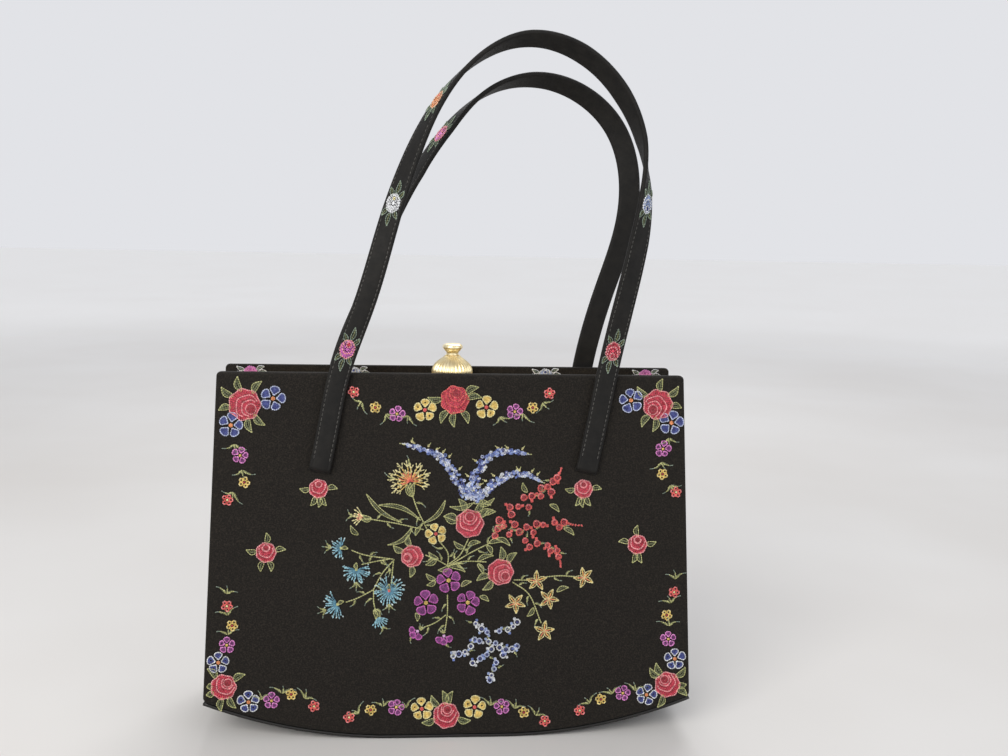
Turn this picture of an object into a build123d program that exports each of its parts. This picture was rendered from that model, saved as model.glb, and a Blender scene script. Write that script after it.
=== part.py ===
from build123d import *
import os
from bisect import bisect_right
from math import atan2, cos, degrees, pi, radians, sin, tan

os.makedirs("parts", exist_ok=True)

# An evening handbag with two stiff covered panels, a hinged metal frame, a knob clasp and
# two strap handles. X runs across the bag, Y from front to back and Z up. The origin is
# in the middle of the flat stretch that the bag stands on. All sizes are in millimetres.

# Body of the bag
bottom_width = 240.0
top_width = 228.0
bag_height = 179.0
base_depth = 72.0
top_depth = 31.0
corner_rise = 20.0
rest_length = 50.0
top_corner_radius = 5.0

# Panels: a board, the crepe around it and the lining inside
cover_thickness = 0.8
board_thickness = 2.4
lining_thickness = 0.8
lining_inset = 2.0
facing_height = 22.0
outer_roll_radius = 2.6
inner_roll_radius = 0.8

# Base strip, piping and gussets
strip_thickness = 3.0
piping_radius = 1.0
piping_sides = 12
flange_thickness = 0.8
gusset_thickness = 1.2
gusset_inset = 2.5
gusset_fold_top = 15.0
gusset_fold_bottom = 2.0
moving_gap = 0.3
seat_gap = 0.2

# Frame: two channels that close on each other and turn on a pin at each side
frame_half_width = 111.5
frame_recess = 6.0
frame_bar_height = 7.0
frame_bar_depth = 11.3
frame_arm_width = 6.4
frame_wall = 1.2
frame_corner_radius = 4.0
frame_edge_radius = 1.5
frame_split_gap = 0.3
hinge_height = 125.0
ear_radius = 6.0
ear_relief = 0.5
arm_start = 1.0
pin_radius = 1.5
pin_clearance = 0.05
pin_head_radius = 2.6
pin_head_thickness = 0.9

# Clasp
dome_radius = 10.3
dome_foot_radius = 9.2
dome_height = 12.6
dome_belly_height = 4.6
dome_neck_radius = 3.6
dome_crown_power = 1.5
dome_crown_levels = 4
flute_count = 32
flute_depth = 0.6
knob_radius = 5.0
knob_neck_radius = 3.3
knob_skirt_height = 2.7
knob_height = 6.1
knob_gap = 1.8
stem_radius = 1.5
stem_clearance = 0.06
stem_notch_radius = 2.3
latch_pocket_radius = 5.2
latch_radius = 3.5
latch_thickness = 1.0
fork_thickness = 1.0
fork_drop = 0.6
fork_reach = 4.0
fork_width = 8.6
fork_pad_length = 5.0
stud_radius = 1.3
stud_spacing = 12.0
stud_set_back = 4.5
stud_length = 2.6

# Handles
strap_width = 10.5
strap_thickness = 2.4
slot_spread = 130.0
slot_height = 130.0
slot_clearance = 0.3
anchor_width = 17.0
anchor_height = 12.0
anchor_thickness = 1.0

# Strap centre lines, from the left slot over the top to the right slot: each row is X, Z
# and the roll of the strap's inner face, from 90 (facing back) through 0 (facing into
# the loop) to -90 (facing front).
front_strap_line = [
    (-65.0, 130.0, 90), (-60.5, 153.0, 90), (-55.7, 177.0, 90), (-43.0, 214.0, 86),
    (-32.0, 252.0, 66), (-21.0, 284.0, 42), (-9.0, 308.0, 20), (8.0, 327.0, -4),
    (32.0, 337.5, -30), (58.0, 331.5, -42), (78.0, 313.0, -36), (88.0, 292.0, -12),
    (91.0, 268.0, 38), (88.5, 244.0, 74), (80.5, 206.0, 90), (74.5, 177.0, 90),
    (70.0, 154.0, 90), (65.0, 130.0, 90),
]
rear_strap_line = [
    (-65.0, 130.0, -90), (-61.5, 154.0, -90), (-56.0, 180.0, -88), (-44.0, 212.0, -60),
    (-31.0, 245.0, -8), (-18.0, 276.0, 30), (-3.0, 298.0, 24), (14.0, 314.5, -2),
    (38.0, 322.0, -30), (61.0, 316.5, -48), (80.0, 300.0, -62), (88.5, 277.0, -76),
    (88.0, 252.0, -86), (79.0, 219.0, -90), (70.0, 182.0, -90), (67.0, 156.0, -90),
    (65.0, 130.0, -90),
]
strap_stations = 56
strap_top_offset = 10.5
strap_lift = 0.5

# Embroidery on the front panel. Places are X and the distance up the panel from its seam,
# chosen by hand to follow the garlands around the edge and the bouquet in the middle.
thread_height = 0.35
heart_height = 0.25
thread_edge_gap = 0.6
stem_width = 0.9
leaf_length = 5.0
leaf_width = 1.7
rose_lobes = 9
rose_heart_share = 0.5
rose_heart_offset = 0.16
small_flower_radius = 3.4
floret_radius = 1.7
bud_radius = 2.6
thistle_radius = 6.0
lily_radius = 4.6
# Roses: X, height, width, and the directions in which their leaves point
roses = [
    (-100.5, 162, 15.5, (143, 104, 54, 193, -45)), (101.0, 163.5, 15.0, (42, 80, 140, -8, -125, -100)),
    (0.5, 165, 14.0, (28, 5, 175, -60, -90, -120)), (-110.0, 25, 12.5, (131, 180, 200, -60, 30, 8)),
    (108.5, 23.5, 13.0, (137, 118, 44, 0, -113, 163)), (-2.0, 9.5, 13.0, (99, 126, 75, 196, -12)),
    (-90.0, 90.5, 10.0, (172, 8, 90, -75, -105)), (92.0, 94, 10.0, (172, 8, 90, -75, -105)),
    (-65.0, 121.5, 9.5, (180, 0, -115, -90, -65)), (64.5, 121.5, 9.5, (180, 0, -115, -90, -65)),
    (8.5, 104.5, 14.0, (30, 160, 60, 120)), (-19.5, 88.5, 11.0, (90, 150, -95)), (24.0, 80.5, 13.0, (50, 200, 225)),
]
# Flowers with five petals: X, height and radius
blue_flowers = [
    (-87.0, 165, 6.0), (-107.0, 152, 6.0), (87.5, 165.5, 6.0), (108.0, 154.5, 6.0),
    (-112.5, 37, 5.5), (-98.0, 17.5, 5.5), (112.0, 36.5, 5.5), (98.0, 18.5, 5.2),
]
purple_flowers = [
    (-102.5, 137.5, 4.0), (104.0, 141.5, 4.0), (-27.5, 158, 4.0), (30.0, 159.5, 4.0), (-108.5, 45.5, 4.0),
    (-87.0, 18, 4.0), (108.5, 46.5, 4.0), (86.0, 19.5, 4.0), (-26.5, 14, 4.0), (25.5, 13.5, 4.0),
    (-1.5, 76.5, 6.2), (-12.5, 65.5, 6.0), (8.0, 65.5, 6.0), (-17.5, 50, 3.4), (-3.5, 47.5, 3.4),
]
yellow_flowers = [
    (-14.0, 160, 5.5), (16.0, 161.5, 5.5), (-14.0, 13, 5.5), (12.0, 13.5, 5.5), (-8.0, 99.5, 5.2),
]
small_yellow_flowers = [
    (-100.5, 124.5), (104.0, 129), (-38.0, 161), (38.8, 161.5), (-106.0, 55), (-77.5, 21),
    (107.5, 58.5), (75.0, 16.5), (-39.0, 12.8), (36.5, 10.5),
]
small_red_flowers = [
    (-108.5, 116), (111.0, 120), (-48.5, 168.5), (47.0, 168.5), (-108.5, 64.5), (-66.5, 15),
    (111.0, 70), (64.5, 11), (-49.5, 9.3), (47.0, 6),
]
thistles = [(-55.5, 92.5), (-46.5, 79.5), (-58.0, 64), (-30.0, 71)]
lilies = [(42.0, 76), (65.5, 77.5), (31.5, 65), (48.0, 67), (46.0, 51)]
buds = [(-45.5, 108), (-34.5, 56)]
carnation = (-21.0, 126.5)
# Small flowers set closely along sprays
coral_florets = [
    (52.8, 127.5), (46.0, 122.5), (43.5, 117.5), (38.5, 117.5), (35.0, 114), (27.5, 112), (31.5, 109.5),
    (37.0, 111.5), (23.0, 107), (28.0, 104.5), (33.0, 103.5), (43.5, 103.5), (52.0, 104.5), (40.0, 100),
    (34.0, 98.5), (28.0, 99), (22.5, 99.5), (37.0, 104.5), (56.5, 103.5), (61.0, 103), (36.5, 95),
    (42.0, 96), (48.0, 93), (53.0, 90),
]
blue_florets = [
    (13.0, 55), (17.5, 52.5), (25.0, 51.5), (31.0, 54), (14.0, 46.5), (20.5, 46.5), (9.5, 43.5),
    (5.5, 41), (1.0, 40.5), (25.0, 43.5), (29.0, 42), (34.0, 44), (19.5, 40.5), (15.5, 37.5),
    (11.0, 35.5), (23.0, 36), (23.0, 31.5), (20.0, 27.5),
]
plumes = [
    [(6.0, 120.5), (2.5, 126), (-1.5, 132), (-5.5, 136.5), (-10.5, 139.5), (-16.5, 141.5), (-22.5, 143)],
    [(10.0, 123.5), (12.0, 130), (16.0, 136), (21.5, 139.5), (28.5, 140), (35.0, 139)],
    [(14.5, 119.5), (19.5, 124), (25.5, 127.5), (31.5, 129), (37.0, 128.5), (42.0, 126)],
]
# Stems, each through its own points, and single leaves: start, end
stems = [
    [(-20.0, 119), (-17.0, 111), (-12.5, 102)], [(-42.0, 107), (-27.0, 104.5), (-14.0, 101.5)],
    [(-49.0, 91.5), (-42.0, 89), (-28.7, 87)], [(-41.0, 83.5), (-37.0, 86), (-31.0, 87)],
    [(-30.0, 85.5), (-34.0, 80), (-38.2, 72)], [(-38.2, 72), (-45.8, 68), (-51.5, 66)],
    [(-38.0, 71), (-38.0, 64), (-35.5, 59.5)], [(-1.8, 83.5), (6.0, 85.8), (17.0, 85.5)],
    [(-1.5, 84.5), (4.0, 89), (8.0, 97)], [(-2.0, 84), (-2.0, 90), (-6.0, 95.5)],
    [(-2.0, 69.5), (-1.9, 60.5), (-3.0, 51.5)], [(-2.5, 59.5), (-8.0, 55.5), (-14.5, 51.5)],
    [(30.5, 76.5), (34.0, 76.5), (37.5, 76.3)], [(46.5, 78), (54.0, 78.5), (61.0, 78)],
    [(30.0, 75.5), (38.5, 69), (44.5, 55)],
]
garland_sprigs = [
    (-105.0, 143.5, -90), (-101.5, 131, -80), (-105.0, 120, -120), (107.0, 147.5, -90), (103.5, 135.5, -80),
    (108.0, 124, -60), (-44.0, 164, -140), (-33.0, 158.5, -60), (-21.5, 157.5, -110), (22.5, 157.5, -60),
    (34.5, 159, -110), (43.5, 164.5, -50), (-109.0, 70, 80), (-108.0, 59.5, 100), (-108.0, 50, 90),
    (111.5, 76, 90), (109.5, 64, 100), (108.5, 52.5, 90), (-92.0, 18, 100), (-82.0, 21, 80),
    (-71.5, 18.5, 60), (92.0, 20, 80), (80.5, 18.5, 110), (69.5, 14, 120), (-44.5, 10.5, 130),
    (-33.0, 14, 90), (-21.5, 13, 110), (19.5, 13.5, 80), (31.5, 12, 70), (42.0, 8.5, 60),
]
bouquet_leaves = [
    (-35.5, 112, -58), (-25.5, 110, -28), (-8.5, 110, 45), (-25.0, 99.5, -150), (-37.0, 67, -55),
    (-49.0, 70.5, -45), (-43.5, 71, -20), (-26.5, 63.5, -95), (13.5, 88.5, 5), (13.0, 83, -65),
    (5.5, 60, 10), (8.0, 55.5, -60), (-8.0, 60.5, -160), (39.0, 61, -110), (47.0, 58.5, 0),
    (51.5, 74, -60), (-32.0, 50, -35), (-47.5, 96.5, 100), (-64.0, 93, 150), (-65.0, 68, 140),
    (2.0, 114.5, 160), (16.0, 114, 20), (58.0, 108, 60), (48.0, 113.5, -40), (66.0, 99, -60),
]

# Values that follow from the sizes above
panel_thickness = cover_thickness + board_thickness + lining_thickness
seam_height = 2 * piping_radius + moving_gap
lean = atan2((base_depth - top_depth) / 2, bag_height - seam_height)
panel_height = (bag_height - seam_height) / cos(lean)
front_plane = Plane(
    origin=(0, -base_depth / 2, seam_height),
    x_dir=(1, 0, 0),
    z_dir=(0, -cos(lean), sin(lean)),
)
frame_top = bag_height - frame_recess
dome_base = frame_top + moving_gap
channel_top = frame_top - frame_wall
fork_top = channel_top - fork_drop
latch_top = fork_top - fork_thickness - moving_gap
ear_thickness = (frame_arm_width - moving_gap) / 2
slot_centre = (slot_height + strap_thickness / 2 - seam_height) / cos(lean)


def save(shape, node):
    export_step(shape, f"parts/{node}.step")


def save_both(front_shape, node):
    """Write a piece of the front half and its mirror image in the rear half."""
    save(front_shape, f"front_{node}")
    save(mirror(front_shape, about=Plane.XZ), f"rear_{node}")


def inner_face_y(z, depth):
    """Y of a front plane that lies depth behind the panel's outer face, at height z."""
    return -base_depth / 2 + depth / cos(lean) + (z - seam_height) * tan(lean)


def half_width(z):
    """Half of the panel's width at height z, above its lower corners."""
    share = (z - corner_rise) / (bag_height - corner_rise)
    return (bottom_width + (top_width - bottom_width) * share) / 2


def outline(height, rise):
    """Bag outline: a flat stretch to stand on, two arcs to the corners, sides and top."""
    foot = Line((-rest_length / 2, 0), (rest_length / 2, 0))
    right_arc = TangentArc((rest_length / 2, 0), (bottom_width / 2, rise), tangent=(1, 0))
    right_side = Line((bottom_width / 2, rise), (top_width / 2, height))
    top = Line((top_width / 2, height), (-top_width / 2, height))
    left_side = Line((-top_width / 2, height), (-bottom_width / 2, rise))
    left_arc = TangentArc((-rest_length / 2, 0), (-bottom_width / 2, rise), tangent=(-1, 0))
    face = make_face(foot + right_arc + right_side + top + left_side + left_arc)
    return fillet(face.vertices().group_by(Axis.Y)[-1], top_corner_radius)


panel_outline = outline(panel_height, corner_rise - seam_height)


def slab(face, near, far):
    """Extrude a face of the panel plane between two depths behind the outer face."""
    return Pos(0, 0, -far) * extrude(face, far - near)


def strap_slots(clearance):
    """The two openings that the strap ends pass through, in the panel plane."""
    slot = Rectangle(strap_width + 2 * clearance, strap_thickness + 2 * clearance)
    return Pos(-slot_spread / 2, slot_centre) * slot + Pos(slot_spread / 2, slot_centre) * slot


def panel_pieces():
    """Cover, board and lining of the front half, in the panel plane."""
    whole = slab(panel_outline, 0, panel_thickness)
    top_edges = whole.edges().group_by(Axis.Y)[-1].sort_by(Axis.Z)
    whole = fillet(top_edges[-1], outer_roll_radius)
    back_top = whole.edges().filter_by(Axis.X).group_by(Axis.Z)[0].sort_by(Axis.Y)[-1]
    whole = fillet(back_top, inner_roll_radius)
    board = slab(
        offset(panel_outline, -outer_roll_radius / 2),
        cover_thickness,
        cover_thickness + board_thickness,
    )
    below_facing = Pos(0, -facing_height) * Rectangle(2 * bottom_width, 2 * panel_height)
    lining_face = offset(panel_outline, -lining_inset) & below_facing
    lining = slab(lining_face, cover_thickness + board_thickness, panel_thickness)
    holes = slab(strap_slots(slot_clearance), -1, panel_thickness + 1)
    cover = whole - board - lining
    return cover - holes, board - holes, lining - holes


def base_strip():
    """Curved strip that joins the two panels along the bottom."""
    curve = outline(bag_height, corner_rise - seam_height)
    band = curve - offset(curve, -strip_thickness)
    band -= Pos(0, corner_rise - seam_height + bag_height) * Rectangle(2 * bottom_width, 2 * bag_height)
    solid = extrude(Plane.XZ * band, base_depth / 2, both=True)
    depth = panel_thickness + moving_gap
    low = inner_face_y(0, depth)
    high = inner_face_y(bag_height, depth)
    wedge = make_face(Polyline((low, 0), (-low, 0), (-high, bag_height), (high, bag_height), close=True))
    return solid & extrude(Plane.YZ * wedge, bottom_width, both=True)


def piping():
    """Corded edging under the front panel, with the flange that is sewn to the base strip."""
    drop = piping_radius + moving_gap
    rise = corner_rise - seam_height
    centre = panel_thickness / 2
    middle = Line((-rest_length / 2, -drop), (rest_length / 2, -drop))
    right = TangentArc((rest_length / 2, -drop), (bottom_width / 2, rise - drop), tangent=(1, 0))
    left = TangentArc((-rest_length / 2, -drop), (-bottom_width / 2, rise - drop), tangent=(-1, 0))
    path = Pos(0, 0, -centre) * (left + middle + right)
    flange_length = panel_thickness + moving_gap - centre - seat_gap
    cord = RegularPolygon(piping_radius, piping_sides)
    profile = cord + Pos(-flange_length / 2, 0) * Rectangle(flange_length, flange_thickness)
    start = Plane(origin=middle @ 0 - (0, 0, centre), x_dir=(0, 0, 1), z_dir=(1, 0, 0))
    right_run = sweep(start * profile, path=Pos(0, 0, -centre) * middle)
    bend = Plane(origin=middle @ 1 - (0, 0, centre), x_dir=(0, 0, 1), z_dir=(1, 0, 0))
    right_bend = sweep(bend * profile, path=Pos(0, 0, -centre) * right)
    left_bend = mirror(right_bend, about=Plane.YZ)
    return right_run + right_bend + left_bend


def gusset():
    """Right side wall of cloth, folded inwards between the panels, with a crease to its fold."""
    depth = panel_thickness + moving_gap

    def corners(z, fold):
        side = half_width(z) - gusset_inset
        edge = -inner_face_y(z, depth) - seat_gap
        return Vector(side, -edge, z), Vector(side - fold, 0, z)

    low_edge, low_fold = corners(corner_rise + seat_gap, gusset_fold_bottom)
    high_edge, high_fold = corners(hinge_height - ear_radius - moving_gap, gusset_fold_top)
    wall = Part()
    for corner in (low_edge, high_fold):
        triangle = make_face(Polyline(corner, low_fold, high_edge, close=True))
        wall += extrude(triangle, gusset_thickness, dir=(-1, 0, 0))
    return wall + mirror(wall, about=Plane.XZ)


def frame_outline(inset):
    """The frame's arch, seen from the front, with its outside moved in by inset."""
    low = hinge_height + arm_start
    height = frame_top - inset - low
    arch = Pos(0, low + height / 2) * Rectangle(2 * (frame_half_width - inset), height)
    return fillet(arch.vertices().group_by(Axis.Y)[-1], frame_corner_radius - inset)


def frame_slab(face, near, far):
    """Extrude a front view of the frame between two distances in front of the split."""
    return Pos(0, -near, 0) * extrude(Plane.XZ * face, far - near)


def side_discs(first, last, radius):
    """A disc about the hinge axis at each side, between two distances inside the frame's side."""
    middle = frame_half_width - (first + last) / 2
    disc = Rot(0, 90, 0) * Cylinder(radius, last - first)
    return Pos(middle, 0, hinge_height) * disc + Pos(-middle, 0, hinge_height) * disc


def frame_half(ear_is_outside):
    """One channel of the frame, on the front side, with its hinge ears and its lock pocket."""
    outer = (0, ear_thickness)
    inner = (frame_arm_width - ear_thickness, frame_arm_width)
    own, other = (outer, inner) if ear_is_outside else (inner, outer)
    near = frame_split_gap / 2
    far = near + frame_bar_depth
    inner_width = 2 * (frame_half_width - frame_arm_width)
    opening_height = frame_top - frame_bar_height
    opening = Pos(0, opening_height / 2) * Rectangle(inner_width, opening_height)
    half = frame_slab(frame_outline(0) - opening, near, far)
    front_top_edge = half.edges().filter_by(Axis.X).group_by(Axis.Z)[-1].sort_by(Axis.Y)[0]
    half = fillet(front_top_edge, frame_edge_radius)
    half -= frame_slab(frame_outline(frame_wall), near + frame_wall, far - frame_wall)
    half -= side_discs(other[0] - moving_gap, other[1] + moving_gap, ear_radius + ear_relief)
    half += side_discs(*own, ear_radius)
    half -= side_discs(-moving_gap, frame_arm_width + moving_gap, pin_radius + pin_clearance)
    down = (Align.CENTER, Align.CENTER, Align.MAX)
    half -= Pos(0, 0, channel_top) * Cylinder(latch_pocket_radius, frame_bar_height, align=down)
    return half - Pos(0, 0, frame_top) * Cylinder(stem_notch_radius, frame_bar_height)


def hinge_pins():
    """Two riveted pins, one at each side of the frame."""
    inner = frame_half_width - frame_arm_width
    length = frame_arm_width + 2 * moving_gap
    pin = Pos(inner + frame_arm_width / 2, 0, 0) * Rot(0, 90, 0) * Cylinder(pin_radius, length)
    head = Rot(0, 90, 0) * Cylinder(pin_head_radius, pin_head_thickness)
    reach = moving_gap + pin_head_thickness / 2
    pin += Pos(inner - reach, 0, 0) * head + Pos(frame_half_width + reach, 0, 0) * head
    pin = Pos(0, 0, hinge_height) * pin
    return Compound([pin.solid(), mirror(pin, about=Plane.YZ).solid()])


def fluted_section(radius, z):
    """Cross-section of the dome: a ring of ridges with grooves between them."""
    step = pi / flute_count
    groove = radius * (1 - flute_depth / dome_radius)
    points = []
    for i in range(flute_count):
        points.append((radius * cos(2 * i * step), radius * sin(2 * i * step)))
        points.append((groove * cos((2 * i + 1) * step), groove * sin((2 * i + 1) * step)))
    return Pos(0, 0, z) * make_face(Polyline(*points, close=True))


def clasp_dome():
    """Fluted dome on the rear half of the frame, with two studs that hold it."""
    half_belly = dome_belly_height / 2
    belly_edge = (dome_foot_radius + 3 * dome_radius) / 4
    sections = [
        fluted_section(dome_foot_radius, 0),
        fluted_section(belly_edge, half_belly),
        fluted_section(dome_radius, dome_belly_height),
    ]
    for i in range(1, dome_crown_levels + 1):
        rise = i / dome_crown_levels
        radius = dome_neck_radius + (dome_radius - dome_neck_radius) * (1 - rise ** dome_crown_power)
        sections.append(fluted_section(radius, dome_belly_height + (dome_height - dome_belly_height) * rise))
    dome = loft(sections, ruled=True) - Cylinder(stem_radius + stem_clearance, 3 * dome_height)
    dome = Pos(0, 0, dome_base) * dome
    stud = Cylinder(stud_radius, stud_length + moving_gap, align=(Align.CENTER, Align.CENTER, Align.MAX))
    for x in (-stud_spacing / 2, stud_spacing / 2):
        dome += Pos(x, stud_set_back, dome_base) * stud
    return dome


def stud_holes():
    hole = Cylinder(stud_radius + stem_clearance, 4 * frame_wall)
    half = stud_spacing / 2
    return Pos(-half, stud_set_back, frame_top) * hole + Pos(half, stud_set_back, frame_top) * hole


def clasp_knob():
    """Knob, stem and latch disc, which press down together."""
    groove_radius = knob_radius * 0.84
    skirt_top = knob_skirt_height
    side = Polyline(
        (0, 0), (knob_neck_radius, 0), (groove_radius, skirt_top * 0.85), (groove_radius, skirt_top),
        (knob_radius * 0.97, knob_height * 0.52), (knob_radius, knob_height * 0.68),
        (knob_radius * 0.90, knob_height * 0.90), (knob_radius * 0.62, knob_height), (0, knob_height), (0, 0),
    )
    knob_base = dome_base + dome_height + knob_gap
    knob = Pos(0, 0, knob_base) * revolve(Plane.XZ * make_face(side), Axis.Z)
    stem_low = latch_top - latch_thickness
    up = (Align.CENTER, Align.CENTER, Align.MIN)
    knob += Pos(0, 0, stem_low) * Cylinder(stem_radius, knob_base - stem_low, align=up)
    return knob + Pos(0, 0, stem_low) * Cylinder(latch_radius, latch_thickness, align=up)


def catch_fork():
    """Forked catch under the front half's bar, which the latch disc holds from below."""
    low = Align.CENTER, Align.MAX, Align.MAX
    root = frame_split_gap / 2 + frame_bar_depth - frame_wall
    plate = Pos(0, fork_reach, fork_top) * Box(fork_width, fork_reach + root, fork_thickness, align=low)
    slot_width = 2 * (stem_radius + moving_gap)
    slot_length = fork_reach + stem_notch_radius
    slot = Pos(0, fork_reach, fork_top) * Box(slot_width, slot_length, fork_thickness, align=low)
    pad_back = fork_pad_length - root
    pad = Pos(0, pad_back, channel_top) * Box(fork_width, fork_pad_length, fork_drop, align=low)
    return plate - slot + pad


def strap_y(z):
    """Y of the front strap's centre line: flat on the panel, then upright towards the middle."""
    on_panel = inner_face_y(min(z, bag_height), -strap_lift - strap_thickness / 2)
    top = max(z for _, z, _ in front_strap_line)
    share = max(0.0, z - bag_height) / (top - bag_height)
    return on_panel + (-strap_top_offset - on_panel) * share


def between(values, marks, t):
    """The value at t, in straight steps between the values at the marks."""
    i = min(bisect_right(marks, t), len(marks) - 1)
    share = (t - marks[i - 1]) / (marks[i] - marks[i - 1])
    return values[i - 1] + (values[i] - values[i - 1]) * share


def strap(line, side):
    """A strap through its centre line; side is 1 for the front and -1 for the rear."""
    points = [Vector(x, side * strap_y(z), z) for x, z, _ in line]
    lengths = [0.0]
    for before, after in zip(points, points[1:]):
        lengths.append(lengths[-1] + (after - before).length)
    marks = [length / lengths[-1] for length in lengths]
    rolls = [roll for _, _, roll in line]
    path = Spline(*points)
    sections = []
    for i in range(strap_stations + 1):
        t = i / strap_stations
        along = path % t
        backward = Vector(0, 1, 0)
        inward = backward.cross(along).normalized()
        roll = radians(between(rolls, marks, t))
        face_normal = inward * cos(roll) + backward * sin(roll)
        section = Plane(origin=path @ t, x_dir=along.cross(face_normal), z_dir=along)
        sections.append(section * Rectangle(strap_width, strap_thickness))
    return loft(sections, ruled=True)


def strap_tabs():
    """The strap ends that turn in through the panel's slots, in the panel plane."""
    return slab(strap_slots(0), -strap_lift - strap_thickness / 2, panel_thickness + anchor_thickness)


def strap_anchors():
    """Plates inside the front panel that the strap ends are fixed to."""
    plate = Rectangle(anchor_width, anchor_height)
    faces = Pos(-slot_spread / 2, slot_centre) * plate + Pos(slot_spread / 2, slot_centre) * plate
    return slab(faces - strap_slots(0), panel_thickness, panel_thickness + anchor_thickness)


def petals(x, height, radius, count, points_per_petal=2, waist=0.6, turn=90):
    """Outline of a flower seen from the front: count petals around one middle."""
    step = 360 / (count * points_per_petal)
    points = []
    for i in range(count * points_per_petal):
        reach = radius if i % points_per_petal else radius * waist
        angle = radians(turn + (i - 1) * step)
        points.append((x + reach * cos(angle), height + reach * sin(angle)))
    return make_face(Polyline(*points, close=True))


def leaf(x, height, angle, length=leaf_length, width=leaf_width):
    """A pointed leaf that starts at a point."""
    shape = Polyline((0, 0), (length * 0.45, width / 2), (length, 0), (length * 0.45, -width / 2), close=True)
    return Pos(x, height) * Rot(0, 0, angle) * make_face(shape)


def sprig(x, height, angle):
    """Three small leaves from one point."""
    spread = 55
    return [leaf(x, height, angle + turn, leaf_length * 0.85) for turn in (-spread, 0, spread)]


def stem(points):
    """A line of chain stitches, as straight runs of one width."""
    runs = []
    for (x1, y1), (x2, y2) in zip(points, points[1:]):
        angle = degrees(atan2(y2 - y1, x2 - x1))
        length = ((x2 - x1) ** 2 + (y2 - y1) ** 2) ** 0.5
        run = Rectangle(length + stem_width, stem_width)
        runs.append(Pos((x1 + x2) / 2, (y1 + y2) / 2) * Rot(0, 0, angle) * run)
    return runs


def rose_faces():
    """Scalloped roses, and the smaller hearts that lie on them."""
    outer = []
    hearts = []
    for x, height, width, _ in roses:
        outer.append(petals(x, height, width / 2, rose_lobes, waist=0.86))
        drop = width * rose_heart_offset
        hearts.append(petals(x, height - drop, width / 2 * rose_heart_share, 5, waist=0.75))
    return outer, hearts


def green_faces():
    """Every stem and leaf on the panel."""
    greens = []
    for x, height, width, angles in roses:
        for angle in angles:
            reach = width * 0.42
            start = (x + reach * cos(radians(angle)), height + reach * sin(radians(angle)))
            greens.append(leaf(*start, angle))
    for line in stems:
        greens += stem(line)
    for place in garland_sprigs:
        greens += sprig(*place)
    greens += [leaf(x, height, angle, leaf_length * 1.3) for x, height, angle in bouquet_leaves]
    return greens


def joined(faces, without=()):
    """The faces as one sketch, less the shapes that lie over them."""
    sketch = Sketch() + faces
    return sketch - list(without) if without else sketch


def embroidery():
    """Fields of thread on the panel, one shape for each colour."""
    small = small_flower_radius
    outer, hearts = rose_faces()
    red = outer + [petals(x, y, small, 5) for x, y in small_red_flowers]
    red += [petals(x, y, floret_radius, 2, waist=1) for x, y in coral_florets]
    blue = [petals(x, y, radius, 5) for x, y, radius in blue_flowers]
    blue += [petals(x, y, floret_radius, 2, waist=1) for x, y in blue_florets]
    for line in plumes:
        last = len(line) - 1
        for i, (x, y) in enumerate(line):
            blue.append(petals(x, y, 2 * floret_radius * (1 - 0.55 * i / last), 3, waist=1, turn=20 * i))
    teal = [petals(x, y, thistle_radius, 7, waist=0.35) for x, y in thistles]
    purple = [petals(x, y, radius, 5) for x, y, radius in purple_flowers]
    yellow = [petals(x, y, radius, 5) for x, y, radius in yellow_flowers]
    yellow += [petals(x, y, small, 5) for x, y in small_yellow_flowers]
    yellow += [petals(x, y, lily_radius, 5, waist=0.4) for x, y in lilies]
    yellow += [petals(x, y, bud_radius, 3) for x, y in buds]
    yellow += [petals(*carnation, thistle_radius * 1.3, 7, waist=0.4)]
    fields = {}
    over = []
    for colour, faces in (("red", red), ("blue", blue), ("purple", purple), ("yellow", yellow), ("teal", teal)):
        fields[colour] = joined(faces, over)
        over.append(fields[colour])
    fields["green"] = joined(green_faces(), over)
    field = offset(panel_outline, -thread_edge_gap)
    shapes = {colour: slab(sketch & field, -thread_height, 0) for colour, sketch in fields.items()}
    shapes["rose_heart"] = slab(joined(hearts), -thread_height - heart_height, -thread_height)
    return shapes


cover, board, lining = panel_pieces()
save_both(front_plane * cover, "cover")
save_both(front_plane * board, "board")
save_both(front_plane * lining, "lining")
save_both(front_plane * piping(), "piping")
save_both(front_plane * strap_anchors(), "strap_anchors")
save(base_strip(), "base_strip")
right_gusset = gusset()
save(right_gusset, "right_gusset")
save(mirror(right_gusset, about=Plane.YZ), "left_gusset")
save(frame_half(ear_is_outside=True), "front_frame")
save(mirror(frame_half(ear_is_outside=False), about=Plane.XZ) - stud_holes(), "rear_frame")
save(hinge_pins(), "hinge_pins")
save(clasp_dome(), "clasp_dome")
save(clasp_knob(), "clasp_knob")
save(catch_fork(), "catch_fork")
front_tabs = front_plane * strap_tabs()
save(strap(front_strap_line, 1) + front_tabs, "front_strap")
save(strap(rear_strap_line, -1) + mirror(front_tabs, about=Plane.XZ), "rear_strap")
for colour, shape in embroidery().items():
    solids = (front_plane * shape).solids()
    save(Compound(solids), f"{colour}_embroidery")
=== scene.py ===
import random
from math import asin, atan2, cos, degrees, hypot, pi, radians, sin, tan

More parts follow.
